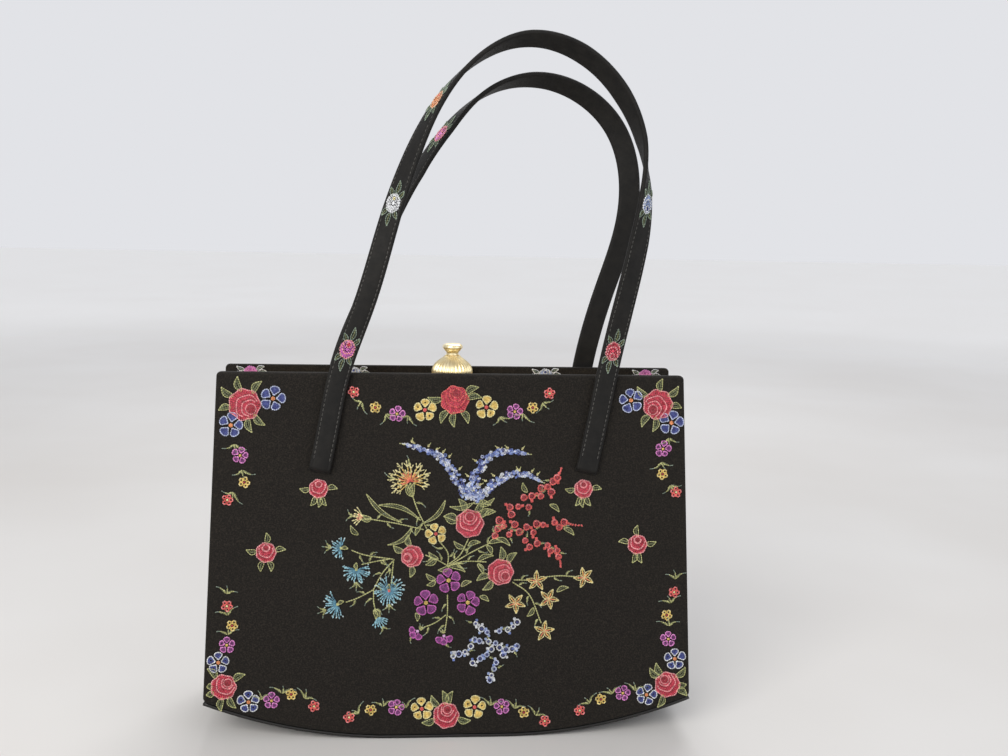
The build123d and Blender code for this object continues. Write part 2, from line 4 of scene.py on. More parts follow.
import bmesh
import bpy
import numpy as np
from mathutils import Matrix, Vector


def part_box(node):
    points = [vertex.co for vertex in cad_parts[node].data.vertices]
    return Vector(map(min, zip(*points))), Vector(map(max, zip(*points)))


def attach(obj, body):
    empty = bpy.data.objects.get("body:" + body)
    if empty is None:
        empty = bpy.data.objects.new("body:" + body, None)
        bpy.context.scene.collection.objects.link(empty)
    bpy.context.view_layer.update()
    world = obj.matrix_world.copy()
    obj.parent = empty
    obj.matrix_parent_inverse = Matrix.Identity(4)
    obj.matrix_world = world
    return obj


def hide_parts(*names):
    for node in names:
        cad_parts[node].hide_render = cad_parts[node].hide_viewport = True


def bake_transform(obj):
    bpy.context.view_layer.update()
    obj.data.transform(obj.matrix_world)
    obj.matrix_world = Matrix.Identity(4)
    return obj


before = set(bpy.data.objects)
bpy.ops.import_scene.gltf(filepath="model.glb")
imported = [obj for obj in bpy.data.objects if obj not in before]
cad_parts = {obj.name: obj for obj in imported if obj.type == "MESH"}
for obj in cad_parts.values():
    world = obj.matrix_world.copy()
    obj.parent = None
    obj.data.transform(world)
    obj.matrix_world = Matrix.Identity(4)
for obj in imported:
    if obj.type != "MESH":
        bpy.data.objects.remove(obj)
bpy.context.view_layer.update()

# The looks of an evening handbag: satin straps, stitched flowers, cloth sides and a gilt
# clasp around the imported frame. X runs across the bag, Y from front to back and Z up.
# Sizes here are in millimetres and become metres when a mesh is made.
MM = 0.001

# Sizes repeated from the CAD source
base_depth = 72.0
top_depth = 31.0
bottom_width = 240.0
top_width = 228.0
bag_height = 179.0
corner_rise = 20.0
rest_length = 50.0
panel_thickness = 4.0
seam_height = 2.3
moving_gap = 0.3
seat_gap = 0.2
piping_radius = 1.0
flange_thickness = 0.8
gusset_inset = 2.5
gusset_fold_top = 15.0
gusset_fold_bottom = 2.0
gusset_top = 118.7
dome_base = 173.3
dome_height = 12.6
flute_count = 32
strap_thickness = 2.4
strap_lift = 0.5
strap_top_offset = 10.5
slot_height = 130.0
tab_depth = 5.0

# Cloth over the panels: its back from the face, its rolled edges and its corners
cover_back = 3.95
side_roll = 1.1
top_roll = 2.5
back_roll = 0.6
face_inset = 0.4
low_corner = 2.2
high_corner = 2.4

# Gusset cloth: its thickness, how far its edge is glued into the panel, its sag and pleats
gusset_cloth = 0.45
glued_in = 0.25
gusset_sag = 0.9
pleat_depth = 0.35

# Clasp profiles: radius, and height over the dome's foot, over its top and over the knob's foot
dome_profile = [
    (9.2, 0), (9.9, 2.2), (10.3, 4.6), (9.9, 6.6), (8.6, 8.6), (6.5, 10.4), (4.6, 11.8), (3.8, 12.6),
]
knob_profile = [
    (3.08, 0.3), (3.1, 1.5), (3.55, 2.1), (4.2, 2.75), (4.3, 2.95), (4.15, 3.1), (4.7, 3.4), (5.05, 4.2),
    (4.8, 5.1), (4, 5.65), (3.1, 5.85), (0.4, 5.95),
]
latch_profile = [(3.3, 0), (3.5, 0.2), (3.5, 0.8), (3.3, 1)]
well_depth = 2.2
well_radius = 3.65
stem_radius = 1.5
flute_depth = 0.075

# Half of a strap's section, from the middle of its outer face round to the inner face:
# (across, out), with a shallow groove for the stitching near the edge
half_section = [
    (0, 1.26), (1.6, 1.25), (2.9, 1.2), (3.55, 1.1), (3.85, 1), (4.15, 1.1), (4.55, 1.12), (4.95, 0.95),
    (5.2, 0.55), (5.25, 0), (5.2, -0.55), (4.95, -0.95), (4.5, -1.14), (3.4, -1.17), (1.7, -1.18),
]
inner_face = 1.18
seam_place = 3.85
seam_end = 12.0
seam_step = 2.3

# Strap centre lines from the CAD source: X, Z and the roll of the inner face
front_strap_line = [
    (-65, 130, 90), (-60.5, 153, 90), (-55.7, 177, 90), (-43, 214, 86), (-32, 252, 66), (-21, 284, 42),
    (-9, 308, 20), (8, 327, -4), (32, 337.5, -30), (58, 331.5, -42), (78, 313, -36), (88, 292, -12),
    (91, 268, 38), (88.5, 244, 74), (80.5, 206, 90), (74.5, 177, 90), (70, 154, 90), (65, 130, 90),
]
rear_strap_line = [
    (-65, 130, -90), (-61.5, 154, -90), (-56, 180, -88), (-44, 212, -60), (-31, 245, -8), (-18, 276, 30),
    (-3, 298, 24), (14, 314.5, -2), (38, 322, -30), (61, 316.5, -48), (80, 300, -62), (88.5, 277, -76),
    (88, 252, -86), (79, 219, -90), (70, 182, -90), (67, 156, -90), (65, 130, -90),
]

# Embroidery: places are X and the distance up the panel from its seam.
# Roses: X, height, width, the side that the heart is on, and the directions of the leaves
roses = [
    (-100.5, 162, 15.5, -35, (143, 104, 54, 193, -45, -75)),
    (101, 163.5, 15, -135, (42, 80, 140, -8, -125, -100)), (0.5, 165, 14, 75, (28, 5, 175, -60, -90, -120)),
    (-110, 25, 12.5, 45, (131, 180, 205, -60, 30, -95)),
    (108.5, 23.5, 13, 120, (137, 118, 44, 0, -113, -30)), (-2, 9.5, 13, 80, (99, 126, 75, 196, -12)),
    (-90, 90.5, 10, 90, (172, 8, 90, -75, -105)), (92, 94, 10, 90, (172, 8, 90, -75, -105)),
    (-65, 121.5, 9.5, 90, (180, 0, -115, -90, -65)), (64.5, 121.5, 9.5, 90, (180, 0, -115, -90, -65)),
    (8.5, 104.5, 14, 90, (30, 165, 65, 115)), (-19.5, 88.5, 11, 195, (100, 150, -95)),
    (24, 80.5, 13, -40, (50, 200, 225, 90)),
]
blue_flowers = [
    (-87, 165, 6), (-107, 152, 6), (87.5, 165.5, 6), (108, 154.5, 6), (-112.5, 37, 5.5), (-98, 17.5, 5.5),
    (112, 36.5, 5.5), (98, 18.5, 5.2),
]
purple_flowers = [
    (-102.5, 137.5, 4), (104, 141.5, 4), (-27.5, 158, 4), (30, 159.5, 4), (-108.5, 45.5, 4), (-87, 18, 4),
    (108.5, 46.5, 4), (86, 19.5, 4), (-26.5, 14, 4), (25.5, 13.5, 4), (-1.5, 76.5, 6.2), (-12.5, 65.5, 6),
    (8, 65.5, 6),
]
yellow_flowers = [
    (-14, 160, 5.5), (16, 161.5, 5.5), (-14, 13, 5.5), (12, 13.5, 5.5), (-8, 99.5, 5.2),
]
small_yellow_flowers = [
    (-100.5, 124.5), (104, 129), (-38, 161), (38.8, 161.5), (-106, 55), (-77.5, 21), (107.5, 58.5),
    (75, 16.5), (-39, 12.8), (36.5, 10.5),
]
small_red_flowers = [
    (-108.5, 116), (111, 120), (-48.5, 168.5), (47, 168.5), (-108.5, 64.5), (-66.5, 15), (111, 70),
    (64.5, 11), (-49.5, 9.3), (47, 6),
]
# Thistles: X, height, radius, the direction in which they open and how widely
thistles = [
    (-54, 92.5, 5.2, 175, 210), (-46.5, 82, 7, -90, 215), (-55.5, 65, 7, 205, 170),
    (-30.5, 71.5, 7.4, -90, 320),
]
# Buds: X, height, the direction in which they open, and the threads of petals and heart
buds = [(-43.5, 107.5, 172, "pale_yellow", "coral"), (-36, 58.5, -62, "light_teal", "teal")]
drooping_flowers = [(-16.5, 51.5, -135), (-3.5, 49, -75)]
lilies = [(42, 76), (65.5, 77.5), (31.5, 65), (48, 67), (46, 51)]
carnation = (-20.8, 125, 102)
coral_florets = [
    (28.2, 112.5), (29, 109), (32.4, 112.8), (37.5, 112.5), (35.1, 117.3), (39, 118), (43.4, 118),
    (43.6, 121.8), (46.8, 122.6), (48.6, 120), (49.4, 125.2), (51.4, 127), (23.1, 106), (22.3, 101.8),
    (25.3, 103.2), (21, 98.5), (28, 99), (30.7, 104), (36.6, 102.7), (33.1, 100.3), (40, 100), (41.6, 104.2),
    (44.8, 103.8), (50.4, 105), (52.8, 102.6), (55.2, 105), (36, 96), (38.2, 92.8), (42, 94.6), (47.2, 93.7),
    (48.6, 90.8), (52, 91), (52.6, 88),
]
coral_tips = [
    [(51.5, 127.5), (52.6, 129.3), (53.4, 131.8)], [(56.5, 104.8), (59.5, 103.8), (64, 103.4)],
    [(52.7, 87.6), (53.6, 85.4), (53.8, 83)],
]
blue_florets = [
    (12.1, 55), (15, 52.4), (17.8, 50.6), (23.8, 51.2), (28, 52), (30.6, 53.4), (32.6, 55.6), (14, 46.4),
    (18.6, 46), (22, 45.2), (9.8, 43.8), (11.6, 47), (7, 41), (4, 40), (1.2, 39), (20, 42.2), (24, 43),
    (27.2, 42), (30.2, 42.2), (32.6, 43.6), (14.5, 37.6), (17.8, 39.6), (10.8, 35.4), (22.4, 35.6),
    (21.4, 32.4), (20.2, 29.2), (19.4, 26.8), (25.8, 39.2),
]
plumes = [
    [(6, 120.5), (2.5, 126), (-1.5, 132), (-5.5, 136.5), (-10.5, 139.5), (-16.5, 141.5), (-22.5, 143)],
    [(10, 123.5), (12, 130), (16, 136), (21.5, 139.5), (28.5, 140), (35, 139)],
    [(14.5, 119.5), (19.5, 124), (25.5, 127.5), (31.5, 129), (37, 128.5), (42, 126)],
]
plume_foot = (9.6, 117.2)
plume_threads = ("light_blue", "mid_blue", "pale_blue", "mid_blue", "white", "white", "blue", "blue")
knot_threads = ("white", "light_blue", "mid_blue")
stems = [
    [(-19.5, 118), (-17, 111), (-12.5, 102)], [(-42, 107), (-27, 104.5), (-14, 101.5)],
    [(-49, 91.5), (-42, 89), (-28.7, 87)], [(-44, 84.5), (-37, 86), (-31, 87)],
    [(-28, 87), (-34, 80), (-38.2, 72)], [(-28.5, 86), (-29, 81), (-29.5, 75)],
    [(-38.2, 72), (-45.8, 68), (-51.5, 66)], [(-38, 72), (-38, 66), (-36.8, 61)],
    [(-1.8, 83.5), (6, 85.8), (17, 85.5)], [(-1.5, 84.5), (4, 89), (8, 97)],
    [(-1.8, 83.5), (9, 90), (19, 95)], [(-2, 84), (-2, 90), (-6, 95.5)],
    [(-1.8, 83.5), (-7, 86.5), (-13, 89)], [(-2, 69.5), (-1.9, 60.5), (-3, 51.5)],
    [(-2.5, 59.5), (-8, 55.5), (-14.5, 53)], [(30.5, 76.5), (34, 76.5), (37.5, 76.3)],
    [(46.5, 78), (54, 78.5), (61, 78)], [(30, 75.5), (38.5, 69), (44.5, 55)],
]
garland_sprigs = [
    (-105, 143.5, -90), (-101.5, 131, -80), (-105, 120, -120), (107, 147.5, -90), (103.5, 135.5, -80),
    (108, 124, -60), (-44, 164, -140), (-33, 158.5, -60), (-21.5, 157.5, -110), (22.5, 157.5, -60),
    (34.5, 159, -110), (43.5, 164.5, -50), (-109, 70, 80), (-108, 59.5, 100), (-108, 50, 90),
    (111.5, 76, 90), (109.5, 64, 100), (108.5, 52.5, 90), (-92, 18, 100), (-82, 21, 80), (-71.5, 18.5, 60),
    (92, 20, 80), (80.5, 18.5, 110), (69.5, 14, 120), (-44.5, 10.5, 130), (-33, 14, 90), (-21.5, 13, 110),
    (19.5, 13.5, 80), (31.5, 12, 70), (42, 8.5, 60),
]
# Leaves of the bouquet, from foot to tip: short ones, and long ones with their bend
bouquet_leaves = [
    ((10, 114.5), (-1.4, 112.8)), ((10, 114.5), (18.9, 113.5)), ((15.9, 108.6), (21.3, 110.3)),
    ((2.5, 105.1), (-3.9, 108)), ((12.5, 85.8), (20.5, 88.6)), ((12.5, 84.6), (15.4, 79.5)),
    ((-7.4, 87.3), (-12.9, 84.2)), ((-6.6, 87), (-11.4, 90.4)), ((-1.4, 83.3), (-6.8, 81.6)),
    ((-1.4, 83.3), (6.6, 80.6)), ((6.3, 92.4), (0.8, 95.8)), ((7.7, 93.4), (14, 95.2)),
    ((17.9, 94.7), (24.8, 95.4)), ((17, 93.6), (19.6, 89.2)), ((21.5, 97), (28.6, 93.4)),
    ((-7.8, 76.9), (-12.6, 79.8)), ((-7.8, 76.2), (-12.2, 74.2)), ((4.6, 73.4), (9.8, 75.8)),
    ((13.8, 68.4), (18.4, 66)), ((-17.4, 60.6), (-16.6, 56.4)), ((52, 70.5), (58, 72.6)),
    ((40.6, 62.8), (37.4, 58.4)), ((55, 102), (60.2, 98.6)), ((47.8, 113.8), (52.6, 110.2)),
    ((26, 103), (21.4, 103.6)), ((36.8, 119.8), (34.4, 124.6)), ((-45.6, 99), (-49.5, 103.6)),
]
long_leaves = [
    ((-42, 119), (-24.5, 105), -0.10), ((-36, 113.5), (-15.5, 106), 0.12),
    ((-3.5, 116), (-14.7, 104.5), 0.14), ((-19.6, 102.6), (-31.5, 94), 0.16),
    ((-15.5, 103), (-18, 98.5), -0.1), ((13.5, 113), (20.5, 117), -0.1),
]
# Flowers on the straps: distance from the left slot along the strap, outline and heart threads
front_strap_flowers = [
    (66, "pink", "magenta", "rose"), (138.7, "white", "white", "pale_yellow"),
    (191, "apricot", "orange", "coral"), (351.7, "white", "light_blue", "blue"),
    (424.3, "pink", "rose", "dark_red"),
]
rear_strap_flowers = [(180.3, "pink", "orchid", "magenta")]
# Flowers on the rear facing: X and their threads
facing_flowers = [
    (-101.5, "orchid", "orchid", "magenta"), (-49.5, "white", "light_blue", "blue"),
    (49, "white", "light_blue", "blue"), (101.5, "orchid", "orchid", "magenta"),
]
facing_height = 173.9

# Threads: colour as shown on a screen, and how the name of the CAD node that each is on begins
threads = {
    "rose": ((0.88, 0.16, 0.27), "red"),
    "crimson": ((0.66, 0.05, 0.14), "red"),
    "pink": ((1.00, 0.62, 0.64), "red"),
    "coral": ((0.96, 0.34, 0.32), "red"),
    "dark_red": ((0.68, 0.07, 0.15), "rose_heart"),
    "purple": ((0.44, 0.09, 0.42), "purple"),
    "magenta": ((0.84, 0.36, 0.76), "purple"),
    "orchid": ((0.97, 0.55, 0.88), "purple"),
    "lilac": ((0.93, 0.72, 0.93), "purple"),
    "blue": ((0.15, 0.20, 0.52), "blue"),
    "mid_blue": ((0.42, 0.52, 0.84), "blue"),
    "light_blue": ((0.66, 0.75, 0.96), "blue"),
    "pale_blue": ((0.80, 0.84, 0.97), "blue"),
    "white": ((0.95, 0.96, 0.98), "blue"),
    "teal": ((0.30, 0.55, 0.66), "teal"),
    "light_teal": ((0.62, 0.85, 0.92), "teal"),
    "ice": ((0.88, 0.97, 0.98), "teal"),
    "yellow": ((0.95, 0.80, 0.38), "yellow"),
    "pale_yellow": ((0.99, 0.94, 0.66), "yellow"),
    "apricot": ((0.99, 0.74, 0.58), "yellow"),
    "orange": ((0.97, 0.58, 0.32), "yellow"),
    "green": ((0.36, 0.39, 0.20), "green"),
    "yellow_green": ((0.80, 0.80, 0.50), "green"),
    "grey_green": ((0.50, 0.58, 0.50), "green"),
    "black": ((0.16, 0.15, 0.13), None),
}
slots = {
    "red": "red_thread", "rose_heart": "dark_red_thread", "purple": "purple_thread",
    "blue": "blue_thread", "teal": "teal_thread", "yellow": "yellow_thread", "green": "green_thread",
}

lean = atan2((base_depth - top_depth) / 2, bag_height - seam_height)
rise = cos(lean)
slope = sin(lean)
panel_top = (bag_height - seam_height) / rise
edge_margin = 1.6
chance = random.Random(11)
vary = chance.uniform


def half_width(z):
    """Half of the panel's width at a height, above its lower corners."""
    return (bottom_width + (top_width - bottom_width) * (z - corner_rise) / (bag_height - corner_rise)) / 2


# Surfaces: each takes points as (across, along, lift) and gives places in the frame


def on_front_panel(p):
    across, up, lift = p[..., 0], p[..., 1], p[..., 2]
    y = -base_depth / 2 + up * slope - lift * rise
    return np.stack([across, y, seam_height + up * rise + lift * slope], -1)


def on_rear_facing(p):
    """The inner side of the rear panel, which is the front one mirrored."""
    inside = np.stack([p[..., 0], p[..., 1], -p[..., 2] - panel_thickness], -1)
    return on_front_panel(inside) * (1, -1, 1)


# Meshes


def in_scene(name, data):
    made = bpy.data.objects.new(name, data)
    bpy.context.scene.collection.objects.link(made)
    return made


def new_piece(name, verts, faces, material):
    """A mesh object from points in millimetres; its faces are made to point outwards."""
    mesh = bpy.data.meshes.new(name)
    mesh.from_pydata([tuple(v) for v in np.asarray(verts) * MM], [], faces)
    edit = bmesh.new()
    edit.from_mesh(mesh)
    bmesh.ops.recalc_face_normals(edit, faces=edit.faces)
    edit.to_mesh(mesh)
    edit.free()
    for face in mesh.polygons:
        face.use_smooth = True
    mesh.materials.append(material)
    return in_scene(name, mesh)


def swept(rings):
    """Points and faces of a run of rings with the same number of points, with a cap at each end."""
    count, size = rings.shape[:2]
    faces = []
    for i in range(count - 1):
        a = i * size
        b = a + size
        for j in range(size):
            k = (j + 1) % size
            faces.append((a + j, a + k, b + k, b + j))
    faces.append(tuple(range(size)))
    faces.append(tuple((count - 1) * size + j for j in range(size)))
    return rings.reshape(-1, 3), faces


# Materials


def linear(colour):
    return [c / 12.92 if c <= 0.04045 else ((c + 0.055) / 1.055) ** 2.4 for c in colour] + [1.0]


def new_node(tree, kind, sockets):
    """A shader node; each socket named holds a value, or is fed by another node's output."""
    node = tree.nodes.new(kind)
    for socket, value in sockets.items():
        if isinstance(value, bpy.types.NodeSocket):
            tree.links.new(value, node.inputs[socket])
        else:
            node.inputs[socket].default_value = value
    return node


class Finish:
    """A material with a principled shader, and short ways to add nodes to it."""

    def __init__(self, name, roughness, metallic=0.0, sheen=0.0, specular=0.5):
        self.material = bpy.data.materials.new(name)
        self.material.use_nodes = True
        self.tree = self.material.node_tree
        self.shader = self.tree.nodes["Principled BSDF"]
        self.shader.inputs["Roughness"].default_value = roughness
        self.shader.inputs["Metallic"].default_value = metallic
        self.shader.inputs["Sheen Weight"].default_value = sheen
        self.shader.inputs["Sheen Roughness"].default_value = 0.35
        self.shader.inputs["Specular IOR Level"].default_value = specular
        self.place = self.tree.nodes.new("ShaderNodeTexCoord").outputs["Object"]

    def feed(self, socket, output):
        self.tree.links.new(output, self.shader.inputs[socket])

    def noise(self, scale, detail=3.0, stretch=(1, 1, 1)):
        shift = new_node(self.tree, "ShaderNodeMapping", {"Vector": self.place, "Scale": stretch})
        sockets = {"Vector": shift.outputs["Vector"], "Scale": scale, "Detail": detail}
        return new_node(self.tree, "ShaderNodeTexNoise", sockets).outputs["Fac"]

    def waves(self, scale, way, distortion=0.0):
        sockets = {"Vector": self.place, "Scale": scale, "Distortion": distortion, "Detail": 1.0}
        node = new_node(self.tree, "ShaderNodeTexWave", sockets)
        node.bands_direction = way
        return node.outputs["Fac"]

    def combine(self, first, second, operation="ADD"):
        node = new_node(self.tree, "ShaderNodeMath", {0: first, 1: second})
        node.operation = operation
        return node.outputs[0]

    def colour(self, value, low, high, start=0.3, end=0.7):
        node = new_node(self.tree, "ShaderNodeValToRGB", {"Fac": value})
        for element, position, shade in zip(node.color_ramp.elements, (start, end), (low, high)):
            element.position = position
            element.color = linear(shade)
        self.feed("Base Color", node.outputs["Color"])

    def roughness(self, value, low, high):
        node = new_node(self.tree, "ShaderNodeMapRange", {"Value": value, "To Min": low, "To Max": high})
        self.feed("Roughness", node.outputs["Result"])

    def bump(self, value, strength, distance):
        sockets = {"Height": value, "Strength": strength, "Distance": distance * MM}
        self.feed("Normal", new_node(self.tree, "ShaderNodeBump", sockets).outputs["Normal"])


def crepe():
    """Matt black crepe with a fine irregular crinkle over a plain weave, and small glints painted into its
    colour as lighter flecks.
    """
    finish = Finish("black_crepe", 0.78, sheen=0.05, specular=0.2)
    crinkle = finish.noise(1500, 4.0, (1, 1, 0.55))
    weave = finish.combine(finish.waves(520, "X", 1.5), finish.waves(520, "Z", 1.5), "MULTIPLY")
    # Colour runs from the dark crepe to lighter flecks; the flecks are painted glints of its sheen
    finish.colour(finish.noise(1500, 5.0), (0.066, 0.054, 0.041), (0.185, 0.165, 0.140), 0.44, 0.82)
    finish.bump(finish.combine(crinkle, weave), 0.6, 0.14)
    return finish.material


def satin(name="black_satin", roughness=0.34, light=0.09, specular=0.4):
    """Black satin: close crosswise threads and a soft gloss."""
    finish = Finish(name, roughness, sheen=0.04, specular=specular)
    yarn = finish.waves(900, "Z", 2.0)
    finish.colour(finish.noise(220), (0.034, 0.030, 0.026), (light, light * 0.92, light * 0.82))
    finish.roughness(finish.noise(900, 2.0), roughness - 0.08, roughness + 0.14)
    finish.bump(finish.combine(yarn, finish.noise(1300, 2.0)), 0.35, 0.07)
    return finish.material


def lining_cloth():
    finish = Finish("lining_satin", 0.42, sheen=0.15)
    finish.colour(finish.noise(150), (0.085, 0.080, 0.085), (0.12, 0.115, 0.12))
    finish.bump(finish.combine(finish.waves(800, "X", 1.0), finish.waves(800, "Z", 1.0)), 0.3, 0.06)
    return finish.material


def card():
    finish = Finish("grey_card", 0.9)
    finish.colour(finish.noise(900, 5.0), (0.42, 0.38, 0.33), (0.56, 0.52, 0.46))
    finish.bump(finish.noise(1800, 4.0), 0.3, 0.05)
    return finish.material


def gilt(name, low, high, roughness):
    """Gilt metal with faint handling marks and a little dullness in patches."""
    finish = Finish(name, roughness, metallic=1.0)
    finish.colour(finish.noise(120, 4.0), low, high)
    finish.roughness(finish.noise(260, 5.0), roughness - 0.07, roughness + 0.12)
    finish.bump(finish.noise(2400, 2.0, (1, 1, 6)), 0.12, 0.02)
    return finish.material


def thread(name, colour):
    """Embroidery silk: each strand a little lighter or darker, with a fine twist."""
    finish = Finish(f"{name}_silk", 0.42, sheen=0.2, specular=0.45)
    dark = [c * 0.72 for c in colour]
    light = [c + (1 - c) * 0.18 for c in colour]
    finish.colour(finish.noise(700, 2.0), dark, light)
    finish.bump(finish.noise(2600, 2.0, (1, 0.4, 1)), 0.5, 0.08)
    return finish.material


crepe_material = crepe()
satin_material = satin()
strap_satin = satin("strap_satin", 0.58, 0.085, 0.22)
gusset_satin = satin("gusset_satin", 0.45, 0.08, 0.35)
clasp_gilt = gilt("clasp_gilt", (0.90, 0.80, 0.56), (1.0, 0.95, 0.80), 0.30)
frame_gilt = gilt("frame_gilt", (0.81, 0.68, 0.42), (0.88, 0.76, 0.50), 0.28)
steel = gilt("plated_metal", (0.62, 0.60, 0.56), (0.78, 0.76, 0.72), 0.30)
silks = {name: thread(name, colour) for name, (colour, _) in threads.items()}

grey_board = card()
lining = lining_cloth()
node_materials = {
    "base_strip": crepe_material, "front_board": grey_board, "rear_board": grey_board,
    "front_lining": lining, "rear_lining": lining,
    "front_frame": frame_gilt, "rear_frame": frame_gilt, "hinge_pins": frame_gilt,
    "catch_fork": steel, "front_strap_anchors": steel, "rear_strap_anchors": steel,
}
for node, material in node_materials.items():
    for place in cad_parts[node].material_slots:
        place.material = material

# Chain stitches. One link is a loop with a raised rim and a dip inside, given as
# (along, across, lift) for a link of length, width and height 1.
rim = [(-0.5, 0.0), (-0.12, 0.5), (0.3, 0.46), (0.5, 0.0), (0.3, -0.46), (-0.12, -0.5)]
link = np.array(
    [(u, v, 0.0) for u, v in rim]
    + [(u * 0.78, v * 0.55, 1.0) for u, v in rim]
    + [(0.1, 0.0, 0.45)]
)
link_faces = [tuple(range(6))]
for corner in range(6):
    after = (corner + 1) % 6
    link_faces.append((corner, after, 6 + after, 6 + corner))
    link_faces.append((6 + corner, 6 + after, 12))
link_overlap = 1.2  # length of a link over the step to the next one

# Stitches: the step from link to link, a link's width and height, and its lift off the cloth
rose_field = 1.05, 0.85, 0.36
rose_outline = 1.05, 0.7, 0.42, 0.08
curl_shade = 1.1, 0.8, 0.34, 0.16
curl_edge = 1.1, 0.72, 0.36, 0.3
heart_outline = 1.0, 0.6, 0.36, 0.32
heart_field = 0.9, 0.75, 0.36, 0.34
petal_field = 1.0, 0.8, 0.3
petal_edge = 1.0, 0.66, 0.42, 0.05
flower_heart = 0.8, 0.85, 0.4, 0.2
small_petal = 0.95, 0.85, 0.4
small_heart = 0.9, 0.8, 0.4, 0.2
leaf_edge = 1.15, 0.5, 0.35, 0.05
blade_line = 1.05, 0.52, 0.34, 0.05
blade_tip = 1.05, 0.48, 0.34, 0.05
blade_side = 1.1, 0.5, 0.3
blade_foot = 1.0, 0.45, 0.3
stem_line = 1.2, 0.62, 0.34
spoke_line = 1.5, 0.62, 0.4
spoke_tip = 1.4, 0.66, 0.42
spoke_fray = 1.3, 0.5, 0.4
thistle_heart = 0.8, 0.9, 0.4, 0.2
lily_line = 1.1, 0.5, 0.42, 0.12
coral_outline = 1.05, 0.85, 0.44, 0.05
coral_heart = 0.9, 0.7, 0.36
coral_light = 1.0, 0.5, 0.44, 0.18
coral_knot = 0.9, 0.8, 0.4
blue_outline = 1.0, 0.75, 0.44, 0.05
blue_heart = 0.8, 0.6, 0.36
blue_knot = 0.9, 0.65, 0.4, 0.1

# Distances between rows of stitches and from an outline, and the heart's share of a rose
rose_inset = 0.35
petal_inset = 0.3
field_gap = 0.74
curl_gap = 1.55
heart_gap = 0.6
petal_gap = 1.5
heart_share = 0.34

# Thistles: degrees of spread times radius for each thread of the outer, end and inner rounds
thistle_threads = 95, 150, 200
wide_thistle = 250

# A petal's outline: share of the flower's radius, and the turn from the petal's middle
petal_shape = [
    (0.24, 0), (0.50, 22), (0.80, 31), (0.98, 17), (1.0, 0), (0.98, -17), (0.80, -31), (0.50, -22),
    (0.24, 0),
]


class Needlework:
    """Stitches on one surface, gathered before they become meshes."""

    def __init__(self, surface):
        self.surface = surface
        self.rows = {name: [] for name in threads}

    def stitch(self, name, x, y, angle, length, width, height, lift=0.0):
        self.rows[name].append((x, y, angle, length, width, height, lift))

    def chain(self, name, points, step, width, height, lift=0.0):
        """Links one after another along a line."""
        points = np.asarray(points, float)
        marks = distances(points)
        count = max(1, round(marks[-1] / step))
        at = np.linspace(0, marks[-1], count + 1)
        x = np.interp(at, marks, points[:, 0])
        y = np.interp(at, marks, points[:, 1])
        for i in range(count):
            dx, dy = x[i + 1] - x[i], y[i + 1] - y[i]
            middle = (x[i] + x[i + 1]) / 2, (y[i] + y[i + 1]) / 2
            self.stitch(name, *middle, atan2(dy, dx), hypot(dx, dy) * link_overlap, width, height, lift)

    def piece(self, name, chosen):
        """One mesh of the chosen threads' stitches, with a material for each thread."""
        verts = []
        faces = []
        used = [t for t in chosen if self.rows[t]]
        owners = []
        for index, t in enumerate(used):
            for x, y, angle, length, width, height, lift in self.rows[t]:
                u, v, w = (link * (length, width, height) + (0, 0, lift)).T
                c, s = cos(angle), sin(angle)
                start = len(verts) * len(link)
                verts.append(np.stack([x + u * c - v * s, y + u * s + v * c, w], -1))
                faces += [tuple(start + k for k in face) for face in link_faces]
                owners += [index] * len(link_faces)
        made = new_piece(name, self.surface(np.concatenate(verts)), faces, silks[used[0]])
        for t in used[1:]:
            made.data.materials.append(silks[t])
        made.data.polygons.foreach_set("material_index", owners)
        return made


def distances(points):
    """Distance of each point from the first one, along the line."""
    runs = np.hypot(*np.diff(points, axis=0).T)
    return np.concatenate([[0.0], np.cumsum(runs)])


def towards(x, y, angle, reach):
    return x + reach * cos(radians(angle)), y + reach * sin(radians(angle))


def curve(points, steps=6):
    """A smooth line through the points."""
    p = np.asarray(points, float)
    p = np.vstack([2 * p[0] - p[1], p, 2 * p[-1] - p[-2]])
    line = []
    for i in range(1, len(p) - 2):
        for t in np.linspace(0, 1, steps, endpoint=False):
            a, b, c, d = p[i - 1:i + 3]
            line.append(0.5 * (2 * b + (c - a) * t + (2 * a - 5 * b + 4 * c - d) * t**2
                               + (3 * b - a - 3 * c + d) * t**3))
    line.append(p[-2])
    return np.array(line)


def direction(start, end):
    return degrees(atan2(end[1] - start[1], end[0] - start[0]))


def ring(x, y, radius, lobes=0, depth=0.0, turn=0.0, steps=36):
    """A closed round line, scalloped where it has lobes."""
    angle = np.linspace(0, 2 * pi, steps + 1) + radians(turn)
    reach = radius * (1 + depth * np.cos(lobes * angle))
    return np.stack([x + reach * np.cos(angle), y + reach * np.sin(angle)], -1)


def arc(x, y, radius, middle, spread, steps=20):
    """Part of a round line, a little scalloped."""
    angle = np.radians(np.linspace(middle - spread / 2, middle + spread / 2, steps))
    reach = radius * (1 + 0.05 * np.cos(5 * angle))
    return np.stack([x + reach * np.cos(angle), y + reach * np.sin(angle)], -1)


